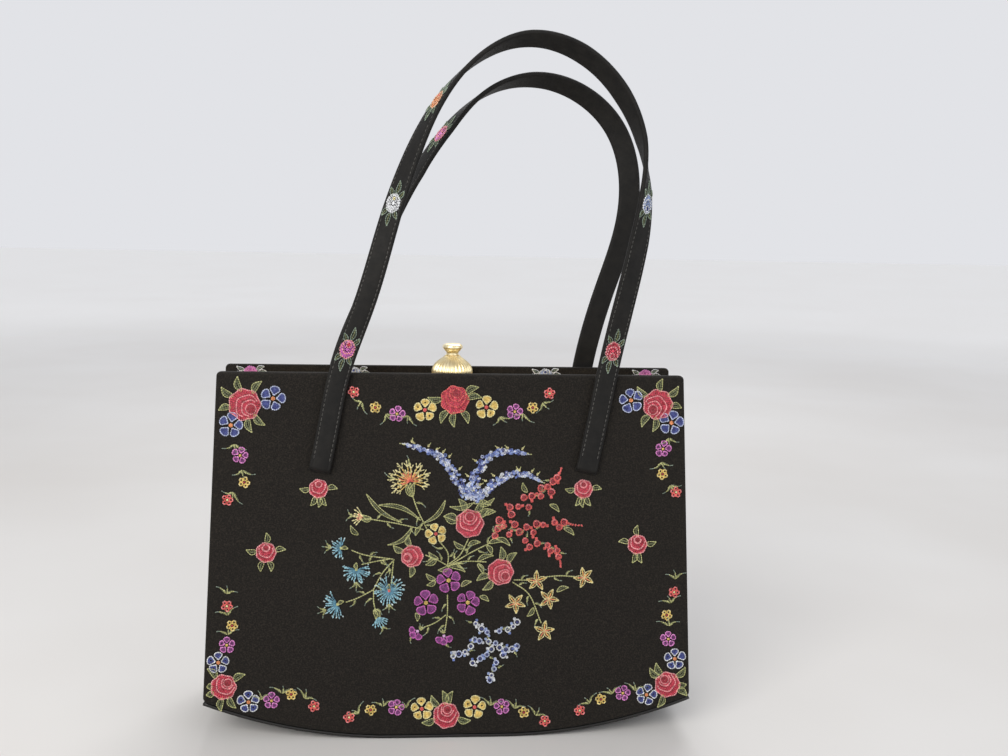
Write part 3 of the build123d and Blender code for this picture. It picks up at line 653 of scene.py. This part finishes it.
def rose(work, x, y, width, heart_way=90.0, petal="rose", edge="pink", heart="dark_red", tall=1.0):
    """A field of petals, lighter petal edges curled round a heart near one side, and an outline."""
    shade = "crimson" if petal == "rose" else petal
    radius = width / 2 - rose_inset
    first = {name: len(rows) for name, rows in work.rows.items()}
    work.stitch(petal, x, y, angle=0.7, length=1.4, width=1.3, height=0.36)
    for i in range(int(radius / field_gap)):
        work.chain(petal, ring(x, y, radius - 0.5 - field_gap * i, turn=40 * i), *rose_field)
    work.chain(edge, ring(x, y, radius, 7, 0.06, heart_way), *rose_outline)
    reach = 0.74 * radius
    while reach > heart_share * radius:
        centre = towards(x, y, heart_way, (radius - reach) * 0.86)
        way = heart_way + 180 + vary(-14, 14)
        work.chain(shade, arc(*centre, reach + 0.6, way, 205), *curl_shade)
        work.chain(edge, arc(*centre, reach, way, 220), *curl_edge)
        reach -= curl_gap
    centre = towards(x, y, heart_way, radius * 0.5)
    work.chain(edge, ring(*centre, heart_share * radius, turn=heart_way), *heart_outline)
    inner = heart_share * radius - heart_gap
    while inner > 0.1:
        work.chain(heart, ring(*centre, inner, steps=14), *heart_field)
        inner -= heart_gap
    if tall != 1.0:
        stretch(work, first, y, tall)


def stretch(work, first, y, tall):
    """Makes the stitches that came after the first ones taller about y."""
    for name, rows in work.rows.items():
        for i in range(first[name], len(rows)):
            px, py, angle, *sizes = rows[i]
            turned = atan2(sin(angle) * tall, cos(angle))
            rows[i] = (px, y + (py - y) * tall, turned, *sizes)


def petal_line(x, y, way, radius, scale=1.0):
    """The outline of a petal, broad at its outer end, drawn smaller about its middle by scale."""
    middle = np.array(towards(x, y, way, radius * 0.66))
    line = np.array([towards(x, y, way + turn, radius * reach) for reach, turn in petal_shape])
    return curve(middle + (line - middle) * scale, 3)


def flower(work, x, y, radius, petal, edge, heart, turn=90.0, ways=(0, 72, 144, 216, 288)):
    """Looped petals round a small heart."""
    turn += vary(-16, 16)
    for way in ways:
        size = radius * vary(0.92, 1.06)
        place = x, y, turn + way + vary(-4, 4), size
        scale = 1 - petal_gap / size
        while scale > 0.2:
            work.chain(petal, petal_line(*place, scale), *petal_field)
            scale -= petal_gap / size
        work.chain(edge, petal_line(*place, 1 - petal_inset / size), *petal_edge)
    work.chain(heart, ring(x, y, max(0.45, radius * 0.13), steps=12), *flower_heart)
    work.stitch(heart, x, y, angle=0.4, length=1.1, width=0.9, height=0.5, lift=0.25)


def small_flower(work, x, y, petal, light, heart, radius=3.4):
    """Five round petals, each with a light stitch across it."""
    turn = vary(0, 72)
    for i in range(5):
        way = turn + i * 72 + vary(-8, 8)
        centre = towards(x, y, way, radius * 0.52)
        work.chain(petal, ring(*centre, radius * 0.27, turn=way, steps=12), *small_petal)
        work.stitch(light, *towards(x, y, way, radius * 0.74), radians(way + 90), 1.5, 0.6, 0.4, 0.12)
    work.chain(heart, ring(x, y, 0.45, steps=8), *small_heart)


def leaf(work, x, y, angle, length, width, bend=0.12, names=("yellow_green", "green")):
    """An outlined leaf with two curved sides, filled with darker lines along it."""
    foot = np.array((x, y))
    along = np.array((cos(radians(angle)), sin(radians(angle))))
    side = np.array((-along[1], along[0]))
    t = np.linspace(0, 1, 9)[:, None]
    middle = foot + along * length * t + side * (length * bend * np.sin(pi * t))
    bulge = side * width / 2 * np.sin(pi * t**0.8)
    for share in (-0.42, 0.42) if width > 2.6 else (0,):
        work.chain(names[1], (middle + bulge * share)[1:-1], 1.2, min(0.9, width * 0.36), 0.26)
    work.chain(names[0], middle + bulge, *leaf_edge)
    work.chain(names[0], middle - bulge, *leaf_edge)


def leaves(work, x, y, angle, turns, length, width):
    """Leaves from one foot, turned to both sides of an angle."""
    for turn in turns:
        leaf(work, x, y, angle + turn, length, width)


def length_on_panel(x, y, angle, wanted):
    """The length of a leaf, shortened where its tip would come too near the edge of the panel."""
    while wanted > 2.0:
        across, up = towards(x, y, angle, wanted + edge_margin)
        if abs(across) < half_width(up * rise + seam_height) and up < panel_top:
            break
        wanted -= 0.4
    return wanted


def leaf_between(work, foot, tip, width, bend):
    leaf(work, *foot, direction(foot, tip), hypot(tip[0] - foot[0], tip[1] - foot[1]), width, bend)


def blade(work, x, y, angle, length=5.0, bend=0.22, names=("yellow_green", "green")):
    """A thin curved leaf: a line of stitches that swings outwards, with a second one at its foot."""
    t = np.linspace(0, 1, 10)
    way = np.radians(angle) + bend * 4.4 * (t - 0.35)
    step = length / (len(t) - 1)
    line = np.column_stack([x + step * np.cumsum(np.cos(way)), y + step * np.cumsum(np.sin(way))])
    beside = np.column_stack([-np.sin(way), np.cos(way)]) * 0.42
    work.chain(names[0], line[:7], *blade_line)
    work.chain("grey_green" if names[1] == "green" else names[1], line[6:], *blade_tip)
    work.chain(names[1], (line + beside)[1:6], *blade_side)
    work.chain(names[0], (line - beside * 0.8)[1:4], *blade_foot)


def sprig(work, x, y, angle):
    """Three thin leaves from one foot, the outer two longer."""
    for turn, bend, length in ((-52, -0.26, 6.4), (4, 0.2, 4.6), (52, 0.26, 6.4)):
        blade(work, x, y, angle + turn + vary(-8, 8), length * vary(0.85, 1.1), bend)


def stem(work, *points):
    """A stem with thin leaves that curve off it to both sides."""
    line = curve(points)
    work.chain("yellow_green", line, *stem_line)
    marks = distances(line)
    side = chance.choice((-1, 1))
    for at in np.arange(3.4, marks[-1] - 1.5, 5.8):
        i = min(int(np.searchsorted(marks, at)), len(line) - 2)
        way = direction(line[i], line[i + 1]) + side * vary(42, 60)
        blade(work, *line[i], way, vary(4.0, 5.8), -side * 0.26)
        side = -side


def spokes(work, x, y, angle, spread, count, inner, outer, name, tip, share=0.7, fray=0):
    """Threads that radiate from a point, each with another colour at its tip, frayed by the angle fray."""
    for i in range(count):
        way = angle + spread * (i / (count - 1) - 0.5) + vary(-4, 4)
        reach = outer * vary(0.80, 1.05)
        bend = vary(-0.12, 0.12) * reach
        ends = [towards(x, y, way, d) for d in (inner, inner + (reach - inner) * share, reach)]
        work.chain(name, ends[:2], *spoke_line)
        work.chain(tip, [ends[1], towards(*ends[2], way + 90, bend)], *spoke_tip)
        for turn in (-fray, fray) if fray else ():
            frayed = towards(*ends[1], way + turn, (reach - inner) * (1 - share) * 0.8)
            work.chain(tip, [ends[1], frayed], *spoke_fray)


def thistle(work, x, y, radius, angle, spread):
    """Three rounds of radiating threads, with thin leaves at their ends and a short one at the foot."""
    outer, end, inner = (round(spread * radius / share) for share in thistle_threads)
    spokes(work, x, y, angle, spread, outer, 1.2, radius, "teal", "light_teal", 0.55)
    reach = radius * 0.86, radius * 1.06
    spokes(work, x, y, angle, spread, end, *reach, "light_teal", "ice", 0.1)
    spokes(work, x, y, angle, spread * 0.7, inner, 0.3, radius * 0.6, "teal", "light_teal", 0.5)
    heart = "coral" if spread > wide_thistle else "yellow_green"
    work.chain(heart, ring(x, y, 0.5, steps=8), *thistle_heart)
    for turn in (-1, 0, 1):
        blade(work, *towards(x, y, angle, radius * 0.8), angle + 34 * turn, 4.6, 0.2 * turn)
    leaf(work, *towards(x, y, angle + 180, 0.2), angle + 180, 3.2, 1.8)


def lily(work, x, y, turn):
    """Five pointed petals, with a warm line out of the heart on each."""
    for i in range(5):
        way = turn + 72 * i + vary(-8, 8)
        leaf(work, x, y, way, 5.3, 2.3, 0.04, ("pale_yellow", "yellow"))
        line = [towards(x, y, way, 0.3), towards(x, y, way, 2.8)]
        work.chain("coral" if i % 2 else "orange", line, *lily_line)


def carnation_flower(work, x, y, angle):
    """Three rounds of frayed threads over a sheaf of leaves."""
    spokes(work, x, y, angle, 250, 15, 2.0, 10.8, "yellow", "pale_yellow", 0.6, 30)
    spokes(work, x, y, angle, 200, 8, 0.8, 6.8, "orange", "pale_yellow", 0.6, 36)
    spokes(work, x, y, angle, 190, 9, 0.2, 5.4, "coral", "coral", 0.75)
    leaves(work, x + 1.4, y - 7.4, 100, (-16, 0, 16), 7.0, 2.4)
    blade(work, *towards(x, y, 165, 6.5), 165, 6.5, -0.25)
    blade(work, *towards(x, y, 95, 7.0), 95, 5.5, 0.15)


def bud(work, x, y, angle, petal, heart):
    """A flower about to open, held between leaves."""
    spokes(work, x, y, angle, 110, 8, 0.4, 5.6, petal, petal)
    spokes(work, x, y, angle, 60, 4, 0.2, 3.2, heart, heart)
    leaves(work, *towards(x, y, angle + 180, 4.2), angle, (-14, 14), 4.8, 1.9)
    for turn in (-1, 1):
        blade(work, *towards(x, y, angle, 4.4), angle + 30 * turn, 4.4, 0.25 * turn)


def drooping_flower(work, x, y, angle):
    """A small flower seen from the side, under its green cup."""
    flower(work, x, y, 4.4, "purple", "magenta", "lilac", angle, (-58, 0, 58))
    for turn in (150, 180, 210):
        blade(work, *towards(x, y, angle + 180, 1.0), angle + turn, 3.0, 0.2)
    blade(work, *towards(x, y, angle, 3.6), angle + 25, 3.6, 0.3)


def plume(work, *points):
    """Florets in mixed blues, closer and wider at the foot of the plume."""
    line = curve([plume_foot, *points], 5)
    for i, (x, y) in enumerate(line):
        share = i / (len(line) - 1)
        spread = 2.7 * (1 - 0.8 * share**2)
        for _ in range(7 if share < 0.75 else 4):
            name = chance.choice(plume_threads)
            place = x + vary(-spread, spread), y + vary(-spread, spread) * 0.8
            size = vary(0.4, 0.8)
            turn, lift = vary(0, 90), vary(0, 0.2)
            work.chain(name, ring(*place, size, steps=8, turn=turn), 1.0, 0.62, 0.4, lift)
        if i % 3 == 1:
            side = chance.choice((-1, 1))
            way = 90 - side * vary(20, 70)
            blade(work, x + side * spread, y + 1.0, way, 2.6, 0.1, ("pale_yellow", "yellow_green"))
    blade(work, *line[-1], direction(line[-3], line[-1]), 3.4, 0.1, ("white", "yellow_green"))


def side_blade(work, x, y, share):
    """A short thin leaf beside a floret, here and there."""
    if chance.random() < share:
        way = vary(0, 360)
        blade(work, *towards(x, y, way, 1.4), way, vary(2.4, 3.6), vary(-0.25, 0.25))


def coral_floret(work, x, y):
    """A round floret with a dark heart, and often a knot beside it."""
    side_blade(work, x, y, 0.65)
    size = vary(1.25, 1.75)
    if chance.random() < 0.6:
        knot = towards(x, y, vary(0, 360), size + 0.9)
        work.chain("coral", ring(*knot, 0.6, steps=8), *coral_knot)
    work.chain("coral", ring(x, y, size, 3, 0.12, vary(0, 90), 14), *coral_outline)
    work.chain("crimson", ring(x, y, size * 0.45, steps=8), *coral_heart)
    work.chain("pink", arc(x, y, size * 0.95, vary(60, 170), 90, 6), *coral_light)


def coral_tip(work, *points):
    """Single stitches along the thin end of a coral spray."""
    for x, y in curve(points, 3):
        work.stitch("coral", x, y, vary(0, 3), length=1.5, width=0.9, height=0.45)


def blue_floret(work, x, y):
    """A pale outlined floret with a blue heart, and one to three knots round it."""
    side_blade(work, x, y, 0.5)
    size = vary(1.05, 1.6)
    outline = chance.choice(("white", "pale_blue"))
    work.chain(outline, ring(x, y, size, 4, 0.1, vary(0, 90), 12), *blue_outline)
    work.chain("blue", ring(x, y, size * 0.4, steps=8), *blue_heart)
    for _ in range(chance.choice((1, 2, 3))):
        knot = towards(x, y, vary(0, 360), size + 0.7)
        work.chain(chance.choice(knot_threads), ring(*knot, 0.55, steps=8), *blue_knot)


def leafy_rose(work, x, y, width, heart_way, angles, edge):
    """A rose over the leaves that stand out from under it."""
    for angle in angles:
        bend = chance.choice((-0.16, 0.16))
        foot = towards(x, y, angle, width * 0.42)
        length = length_on_panel(*foot, angle, min(7.4, width * 0.54))
        leaf(work, *foot, angle, length, min(3.1, width * 0.26), bend)
    rose(work, x, y, width, heart_way, edge=edge)


def front_embroidery():
    """The garlands, the scattered roses and the bouquet; one piece for each CAD node."""
    work = Needlework(on_front_panel)

    def sew(pattern, places, *more):
        for place in places:
            pattern(work, *place, *more)

    sew(stem, stems)
    sew(sprig, garland_sprigs)
    sew(leaf_between, bouquet_leaves, 2.2, 0.14)
    for foot, tip, bend in long_leaves:
        leaf_between(work, foot, tip, 1.9, bend)
    for i, place in enumerate(roses):
        leafy_rose(work, *place, "coral" if i == 2 else "pink")
    for x, y, radius in blue_flowers:
        flower(work, x, y, radius, "blue", "pale_blue" if y > 100 else "white", "orange")
    for x, y, radius in purple_flowers:
        flower(work, x, y, radius, "purple", "magenta" if radius > 5 else "orchid", "yellow")
    sew(flower, yellow_flowers, "yellow", "pale_yellow", "coral")
    sew(small_flower, small_yellow_flowers, "yellow", "pale_yellow", "dark_red")
    sew(small_flower, small_red_flowers, "coral", "pink", "pale_yellow")
    sew(thistle, thistles)
    for i, (x, y) in enumerate(lilies):
        lily(work, x, y, 90 + 17 * i)
    sew(bud, buds)
    sew(drooping_flower, drooping_flowers)
    carnation_flower(work, *carnation)
    sew(plume, plumes)
    sew(coral_floret, coral_florets)
    sew(coral_tip, coral_tips)
    sew(blue_floret, blue_florets)
    for node, slot in slots.items():
        chosen = [t for t in threads if threads[t][1] == node]
        piece = work.piece(f"{node}_stitches", chosen)
        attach(piece, "front_panel")
        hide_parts(f"{node}_embroidery")


def facing_embroidery():
    """Small flowers between white leaves along the inner side of the rear panel."""
    work = Needlework(on_rear_facing)
    for x, edge, petal, heart in facing_flowers:
        for angle, reach, length in ((0, 3.5, 5.0), (180, 3.5, 5.0), (24, 3.2, 4.4), (156, 3.2, 4.4)):
            foot = towards(x, facing_height, angle, reach)
            leaf(work, *foot, angle, length, 2.0, 0.1, ("white", "grey_green"))
        rose(work, x, facing_height, 7.0, 90, petal, edge, heart)
    piece = work.piece("rear_facing_stitches", list(threads))
    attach(piece, "rear_panel")


# Straps


def spline(knots, values, at):
    """A natural cubic spline through the values, and its slope."""
    h = np.diff(knots)[:, None]
    n = len(knots)
    system = np.eye(n)
    right = np.zeros_like(values)
    steps = np.diff(values, axis=0) / h
    for i in range(1, n - 1):
        system[i, i - 1:i + 2] = h[i - 1, 0], 2 * (h[i - 1, 0] + h[i, 0]), h[i, 0]
        right[i] = 3 * (steps[i] - steps[i - 1])
    c = np.linalg.solve(system, right)
    i = np.clip(np.searchsorted(knots, at, side="right") - 1, 0, n - 2)
    d = (c[i + 1] - c[i]) / (3 * h[i])
    b = steps[i] - h[i] * (2 * c[i] + c[i + 1]) / 3
    t = (at - knots[i])[:, None]
    return values[i] + t * (b + t * (c[i] + t * d)), b + t * (2 * c[i] + 3 * t * d)


def unit(v):
    return v / np.linalg.norm(v, axis=-1, keepdims=True)


def line_marks(points):
    """Distance of each point in space from the first one, along the line."""
    return np.concatenate([[0.0], np.cumsum(np.linalg.norm(np.diff(points, axis=0), axis=1))])


def strap_y(z):
    """How far in front a strap's centre line runs: along the panel, and from there in towards the top."""
    lift = strap_lift + strap_thickness / 2
    on_panel = -base_depth / 2 - lift / rise + (min(z, bag_height) - seam_height) * tan(lean)
    top = max(z for _, z, _ in front_strap_line)
    share = max(0.0, z - bag_height) / (top - bag_height)
    return on_panel + (-strap_top_offset - on_panel) * share


class Strap:
    """Stations along one strap: centre, the direction across it and its outward direction."""

    def __init__(self, line, side, stations=240, bend_steps=7):
        points = np.array([(x, side * strap_y(z), z) for x, z, _ in line])
        knots = line_marks(points)
        at = np.linspace(0, knots[-1], stations)
        centre, slope_of = spline(knots, points, at)
        keep = centre[:, 2] >= slot_height + strap_thickness
        centre, along = centre[keep], unit(slope_of[keep])
        roll = np.radians(np.interp(at, knots, [r for _, _, r in line])[keep])[:, None]
        backward = np.array((0.0, 1.0, 0.0))
        inward = unit(np.cross(backward, along))
        across = unit(np.cross(along, inward * np.cos(roll) + backward * np.sin(roll)))
        self.rows = [(c, a, np.cross(t, a)) for c, a, t in zip(centre, across, along)]
        self.turned_in(0, -along[0], side, bend_steps)
        self.turned_in(-1, along[-1], side, bend_steps)
        self.centre, self.across, self.out = (np.array(v) for v in zip(*self.rows))
        self.marks = line_marks(self.centre)

    def turned_in(self, end, down, side, steps):
        """Continues one end round a bend and through the panel's slot."""
        centre, across, out = self.rows[end]
        radius = strap_lift + strap_thickness / 2
        outward = np.array((0.0, -side * rise, slope))
        hub = centre - outward * radius
        added = []
        for i in range(1, steps + 1):
            turn = pi / 2 * i / steps
            arm = outward * cos(turn) + unit(down) * sin(turn)
            added.append((hub + arm * radius, across, unit(arm)))
        added.append((added[-1][0] - outward * tab_depth, across, added[-1][2]))
        self.rows = added[::-1] + self.rows if end == 0 else self.rows + added

    def surface(self, p):
        """Points (across, along, lift) on the outer face."""
        across, along, lift = p[..., 0], p[..., 1], p[..., 2] + strap_thickness / 2
        at = [np.stack([np.interp(along, self.marks, v[:, k]) for k in range(3)], -1)
              for v in (self.centre, self.across, self.out)]
        return at[0] + at[1] * across[..., None] + at[2] * lift[..., None]


def strap_piece(name, line, side, body, node):
    """A strap with rolled edges and a row of stitching along each."""
    strap = Strap(line, side)
    section = np.array(half_section + [(0.0, -inner_face)] + [(-x, y) for x, y in half_section[:0:-1]])
    rings = (strap.centre[:, None] + strap.across[:, None] * section[:, 0, None]
             + strap.out[:, None] * section[:, 1, None])
    piece = new_piece(name, *swept(rings), strap_satin)
    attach(piece, body)
    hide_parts(node)
    sewing = Needlework(strap.surface)
    for edge in (-seam_place, seam_place):
        for along in np.arange(seam_end, strap.marks[-1] - seam_end, seam_step):
            sewing.stitch("black", edge, along, pi / 2, length=1.9, width=0.55, height=0.17, lift=-0.2)
    seam = sewing.piece(f"{node}_seams", ["black"])
    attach(seam, body)
    return strap


def strap_flowers(strap, flowers, name, body):
    """Upright roses along a strap, each between six leaves that point along it."""
    work = Needlework(strap.surface)
    for along, edge, petal, heart in flowers:
        for turn in (60, 90, 120, -60, -90, -120):
            reach, length = (4.6, 6.6) if abs(turn) == 90 else (3.4, 4.6)
            leaf(work, *towards(0, along, turn, reach), turn, length, 2.2, 0.08, ("grey_green", "green"))
        rose(work, 0, along, 7.6, 90, petal, edge, heart, tall=1.3)
    piece = work.piece(name, list(threads))
    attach(piece, body)


# Panels' cloth, piping and gussets


def bottom_arc(steps):
    """Half of the bottom seam, from its flat stretch to the corner, as (across, up, slope angle)."""
    run = (bottom_width - rest_length) / 2
    corner_up = corner_rise - seam_height
    radius = (run**2 + corner_up**2) / (2 * corner_up)
    return [(rest_length / 2 + radius * sin(a), radius * (1 - cos(a)), a)
            for a in np.linspace(0, asin(run / radius), steps)]


def rounded(start, corner, end, steps=6):
    """Points of a curve that turns the corner between start and end."""
    t = np.linspace(0, 1, steps + 1)[:, None]
    return [tuple(p) for p in start * (1 - t) ** 2 + corner * 2 * t * (1 - t) + end * t**2]


def cover_outline():
    """The panel's outline from its lower middle round to the left, as points and outward normals."""
    low = np.array((bottom_width / 2, corner_rise - seam_height))
    high = np.array((top_width / 2, panel_top))
    points = [(0.0, 0.0), (rest_length / 2, 0.0)]
    points += [(x, up) for x, up, _ in bottom_arc(26)[1:-1]]
    before, along = unit(low - np.array(points[-1])), unit(high - low)
    points += rounded(low - before * low_corner, low, low + along * low_corner)
    points += [tuple(low + (high - low) * t) for t in np.linspace(0.05, 0.95, 12)]
    points += rounded(high - along * high_corner, high, high - np.array((high_corner, 0)))
    points += [(x, panel_top) for x in np.linspace(top_width / 2 - high_corner, 0, 12)[1:]]
    right = np.array(points)
    whole = np.concatenate([right, right[-2:0:-1] * (-1, 1)])
    tangent = unit(np.roll(whole, -1, axis=0) - np.roll(whole, 1, axis=0))
    return whole, np.stack([tangent[:, 1], -tangent[:, 0]], -1)


def cover_piece(name, side, body, node):
    """Crepe drawn over the board, rolled over its top edge and turned in at the others."""
    outline, normal = cover_outline()
    upward = np.clip(normal[:, 1:], 0, 1) ** 2
    roll = side_roll + (top_roll - side_roll) * upward
    rings = []
    for turn in np.radians((90, 45, 0)):
        flat = outline - normal * (back_roll * (1 - cos(turn)))
        rings.append(np.column_stack([flat, np.full(len(flat), back_roll * (1 - sin(turn)) - cover_back)]))
    for turn in np.radians((0, 18, 36, 54, 72, 90)):
        flat = outline - normal * roll * (1 - cos(turn))
        rings.append(np.column_stack([flat, -roll[:, 0] * (1 - sin(turn))]))
    flat = outline - normal * (roll + face_inset)
    rings.append(np.column_stack([flat, np.zeros(len(flat))]))
    placed = on_front_panel(np.array(rings)) * (1, side, 1)
    piece = new_piece(name, *swept(placed), crepe_material)
    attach(piece, body)
    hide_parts(node)


def piping_piece(name, side, node):
    """Satin cord along the panel's bottom seam, and a flange sewn into the base behind it."""
    flange = panel_thickness / 2 + moving_gap - seat_gap
    half = flange_thickness / 2
    opening = asin(half / piping_radius)
    angles = np.linspace(opening, 2 * pi - opening, 19)
    section = [(piping_radius * cos(a), piping_radius * sin(a)) for a in angles]
    section += [(flange, -half), (flange, half)]
    arc_half = [(x, up - piping_radius - moving_gap, a) for x, up, a in bottom_arc(40)]
    rings = []
    for x, up, a in [(-x, up, -a) for x, up, a in arc_half[::-1]] + arc_half:
        rings.append([(x - v * sin(a), up + v * cos(a), -panel_thickness / 2 - u) for u, v in section])
    placed = on_front_panel(np.array(rings)) * (1, side, 1)
    piece = new_piece(name, *swept(placed), satin_material)
    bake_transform(piece)
    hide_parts(node)


def gusset_piece(name, side, half, node):
    """One half of a cloth side wall, from its fold to the panel; half is -1 in front."""
    depth = panel_thickness + moving_gap
    low = corner_rise + seat_gap
    grid = []
    for t in np.linspace(0, 1, 36):
        z = low + (gusset_top - low) * t
        edge = base_depth / 2 - depth / rise - (z - seam_height) * tan(lean) + glued_in
        fold = gusset_fold_bottom + (gusset_fold_top - gusset_fold_bottom) * t
        row = []
        for s in np.linspace(0, 1, 14):
            sag = gusset_sag * sin(pi * s) * sin(pi * t)
            pleat = pleat_depth * sin(9 * s + 3 * t) * sin(pi * s)
            inward = gusset_inset + fold * (1 - s) + sag + pleat
            row.append((side * (half_width(z) - inward), half * edge * s, z))
        grid.append(row)
    grid = np.array(grid)
    inner = grid - (side * gusset_cloth, 0, 0)
    piece = new_piece(name, *swept(np.concatenate([grid, inner[:, ::-1]], axis=1)), gusset_satin)
    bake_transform(piece)
    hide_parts(node)


# Clasp


def lathe(profile, steps, flutes=0, depth=0.0):
    """Rings round the Z axis through (radius, z) points; flutes cut in by depth of the radius."""
    angle = np.linspace(0, 2 * pi, steps, endpoint=False)
    groove = 1 - depth * np.abs(np.sin(flutes * angle / 2)) ** 0.7 if flutes else np.ones(steps)
    return np.array([
        np.stack([r * groove * np.cos(angle), r * groove * np.sin(angle), np.full(steps, z)], -1)
        for r, z in profile
    ])


def raised(profile, height):
    return [(r, height + z) for r, z in profile]


def clasp_pieces():
    """The fluted dome with a well in its top, the knob on its stem and the disc that latches."""
    top = dome_base + dome_height
    dome = [tuple(p) for p in curve(raised(dome_profile, dome_base), 5)]
    dome += [(3.7, top - 0.05), (well_radius, top - well_depth), (1.8, top - well_depth)]
    piece = new_piece("fluted_dome", *swept(lathe(dome, 256, flute_count, flute_depth)), clasp_gilt)
    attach(piece, "rear_frame")
    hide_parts("clasp_dome")
    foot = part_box("clasp_knob")[0].z / MM
    knob = [(stem_radius, foot), (stem_radius, top - 0.3), (3.05, top - 0.25)]
    knob += [tuple(p) for p in curve(raised(knob_profile, top), 5)]
    piece = new_piece("turned_knob", *swept(lathe(knob, 48)), clasp_gilt)
    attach(piece, "clasp_knob")
    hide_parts("clasp_knob")
    latch = new_piece("latch_disc", *swept(lathe(raised(latch_profile, foot), 40)), steel)
    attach(latch, "clasp_knob")


front_embroidery()
facing_embroidery()
front_strap = strap_piece("front_strap_satin", front_strap_line, 1, "front_panel", "front_strap")
rear_strap = strap_piece("rear_strap_satin", rear_strap_line, -1, "rear_panel", "rear_strap")
strap_flowers(front_strap, front_strap_flowers, "front_strap_stitches", "front_panel")
strap_flowers(rear_strap, rear_strap_flowers, "rear_strap_stitches", "rear_panel")
cover_piece("front_crepe", 1, "front_panel", "front_cover")
cover_piece("rear_crepe", -1, "rear_panel", "rear_cover")
piping_piece("front_satin_piping", 1, "front_piping")
piping_piece("rear_satin_piping", -1, "rear_piping")
for side, word in ((1, "right"), (-1, "left")):
    gusset_piece(f"{word}_gusset_front_half", side, -1, f"{word}_gusset")
    gusset_piece(f"{word}_gusset_rear_half", side, 1, f"{word}_gusset")
clasp_pieces()


# Floor, light and camera


def floor():
    """Pale floor, which far from the bag is as pale to the camera as the backdrop."""
    mesh = bpy.data.meshes.new("floor")
    half = 8.0
    corners = [(-half, -half, 0), (half, -half, 0), (half, half, 0), (-half, half, 0)]
    mesh.from_pydata(corners, [], [(0, 1, 2, 3)])
    plane = in_scene("floor", mesh)
    finish = Finish("pale_floor", 0.7, specular=0.2)
    finish.colour(finish.noise(3.0), (0.83, 0.82, 0.81), (0.86, 0.855, 0.85))
    reach = new_node(finish.tree, "ShaderNodeVectorMath", {0: finish.place})
    reach.operation = "LENGTH"
    sockets = {"Value": reach.outputs["Value"], "From Min": 0.45, "From Max": 2.6, "To Max": 0.42}
    share = new_node(finish.tree, "ShaderNodeMapRange", sockets)
    share.interpolation_type = "SMOOTHSTEP"
    seen = finish.combine(share.outputs["Result"], camera_and_gloss(finish.tree), "MULTIPLY")
    finish.feed("Emission Strength", seen)
    finish.shader.inputs["Emission Color"].default_value = (0.97, 0.98, 1.0, 1.0)
    mesh.materials.append(finish.material)


def camera_and_gloss(tree):
    """1 for rays from the camera, off gloss and through glass, and 0 for all others."""
    path = tree.nodes.new("ShaderNodeLightPath")
    total = path.outputs["Is Camera Ray"]
    for ray in ("Is Glossy Ray", "Is Transmission Ray"):
        node = new_node(tree, "ShaderNodeMath", {0: total, 1: path.outputs[ray]})
        node.operation = "MAXIMUM"
        total = node.outputs[0]
    return total


def stand(thing, right, upright, back, place):
    """Puts a lamp or camera at a place, with its axes along the three directions."""
    turn = np.eye(4)
    turn[:3] = np.column_stack([right, upright, back, place])
    thing.matrix_world = Matrix(turn.tolist())


def lamp(name, place, size, power, colour):
    """A large soft lamp that faces the middle of the bag."""
    data = bpy.data.lights.new(name, "AREA")
    data.shape = "SQUARE"
    data.size = size
    data.energy = power
    data.color = colour
    back = unit(np.array(place) - np.array((0, 0, 0.15)))
    right = unit(np.cross((0, 0, 1), back))
    stand(in_scene(name, data), right, np.cross(back, right), back, place)


def sky(strength, seen):
    """Even light from all round; what the camera and reflections see of it is paler."""
    world = bpy.data.worlds.new("studio")
    world.use_nodes = True
    tree = world.node_tree
    sockets = {"Value": camera_and_gloss(tree), "To Min": strength, "To Max": seen}
    power = new_node(tree, "ShaderNodeMapRange", sockets)
    background = tree.nodes["Background"]
    tree.links.new(power.outputs["Result"], background.inputs["Strength"])
    background.inputs["Color"].default_value = (0.95, 0.96, 1.0, 1.0)
    bpy.context.scene.world = world


def camera():
    """The photograph's view: where it stands, and the directions of its axes."""
    place = (-0.031, -0.4955, 0.250)
    yaw, pitch, roll = radians(4.1), radians(8.65), radians(1.15)
    forward = np.array((sin(yaw) * cos(pitch), cos(yaw) * cos(pitch), -sin(pitch)))
    level = np.array((cos(yaw), -sin(yaw), 0.0))
    right = level * cos(roll) + np.cross(level, forward) * sin(roll)
    data = bpy.data.cameras.new("photo_view")
    data.sensor_width = 36.0
    data.lens = 35.71
    data.shift_x = 0.0427
    view = in_scene("photo_view", data)
    stand(view, right, np.cross(right, forward), -forward, place)
    bpy.context.scene.camera = view


floor()
lamp("key", (-0.65, -0.95, 0.80), 0.8, 13.0, (1.0, 0.97, 0.92))
lamp("fill", (1.0, -0.8, 0.55), 1.0, 4.0, (0.94, 0.97, 1.0))
lamp("back", (0.2, 0.8, 1.2), 0.8, 9.0, (1.0, 1.0, 1.0))
sky(0.45, 0.80)
camera()
bpy.context.scene.view_settings.view_transform = "Standard"
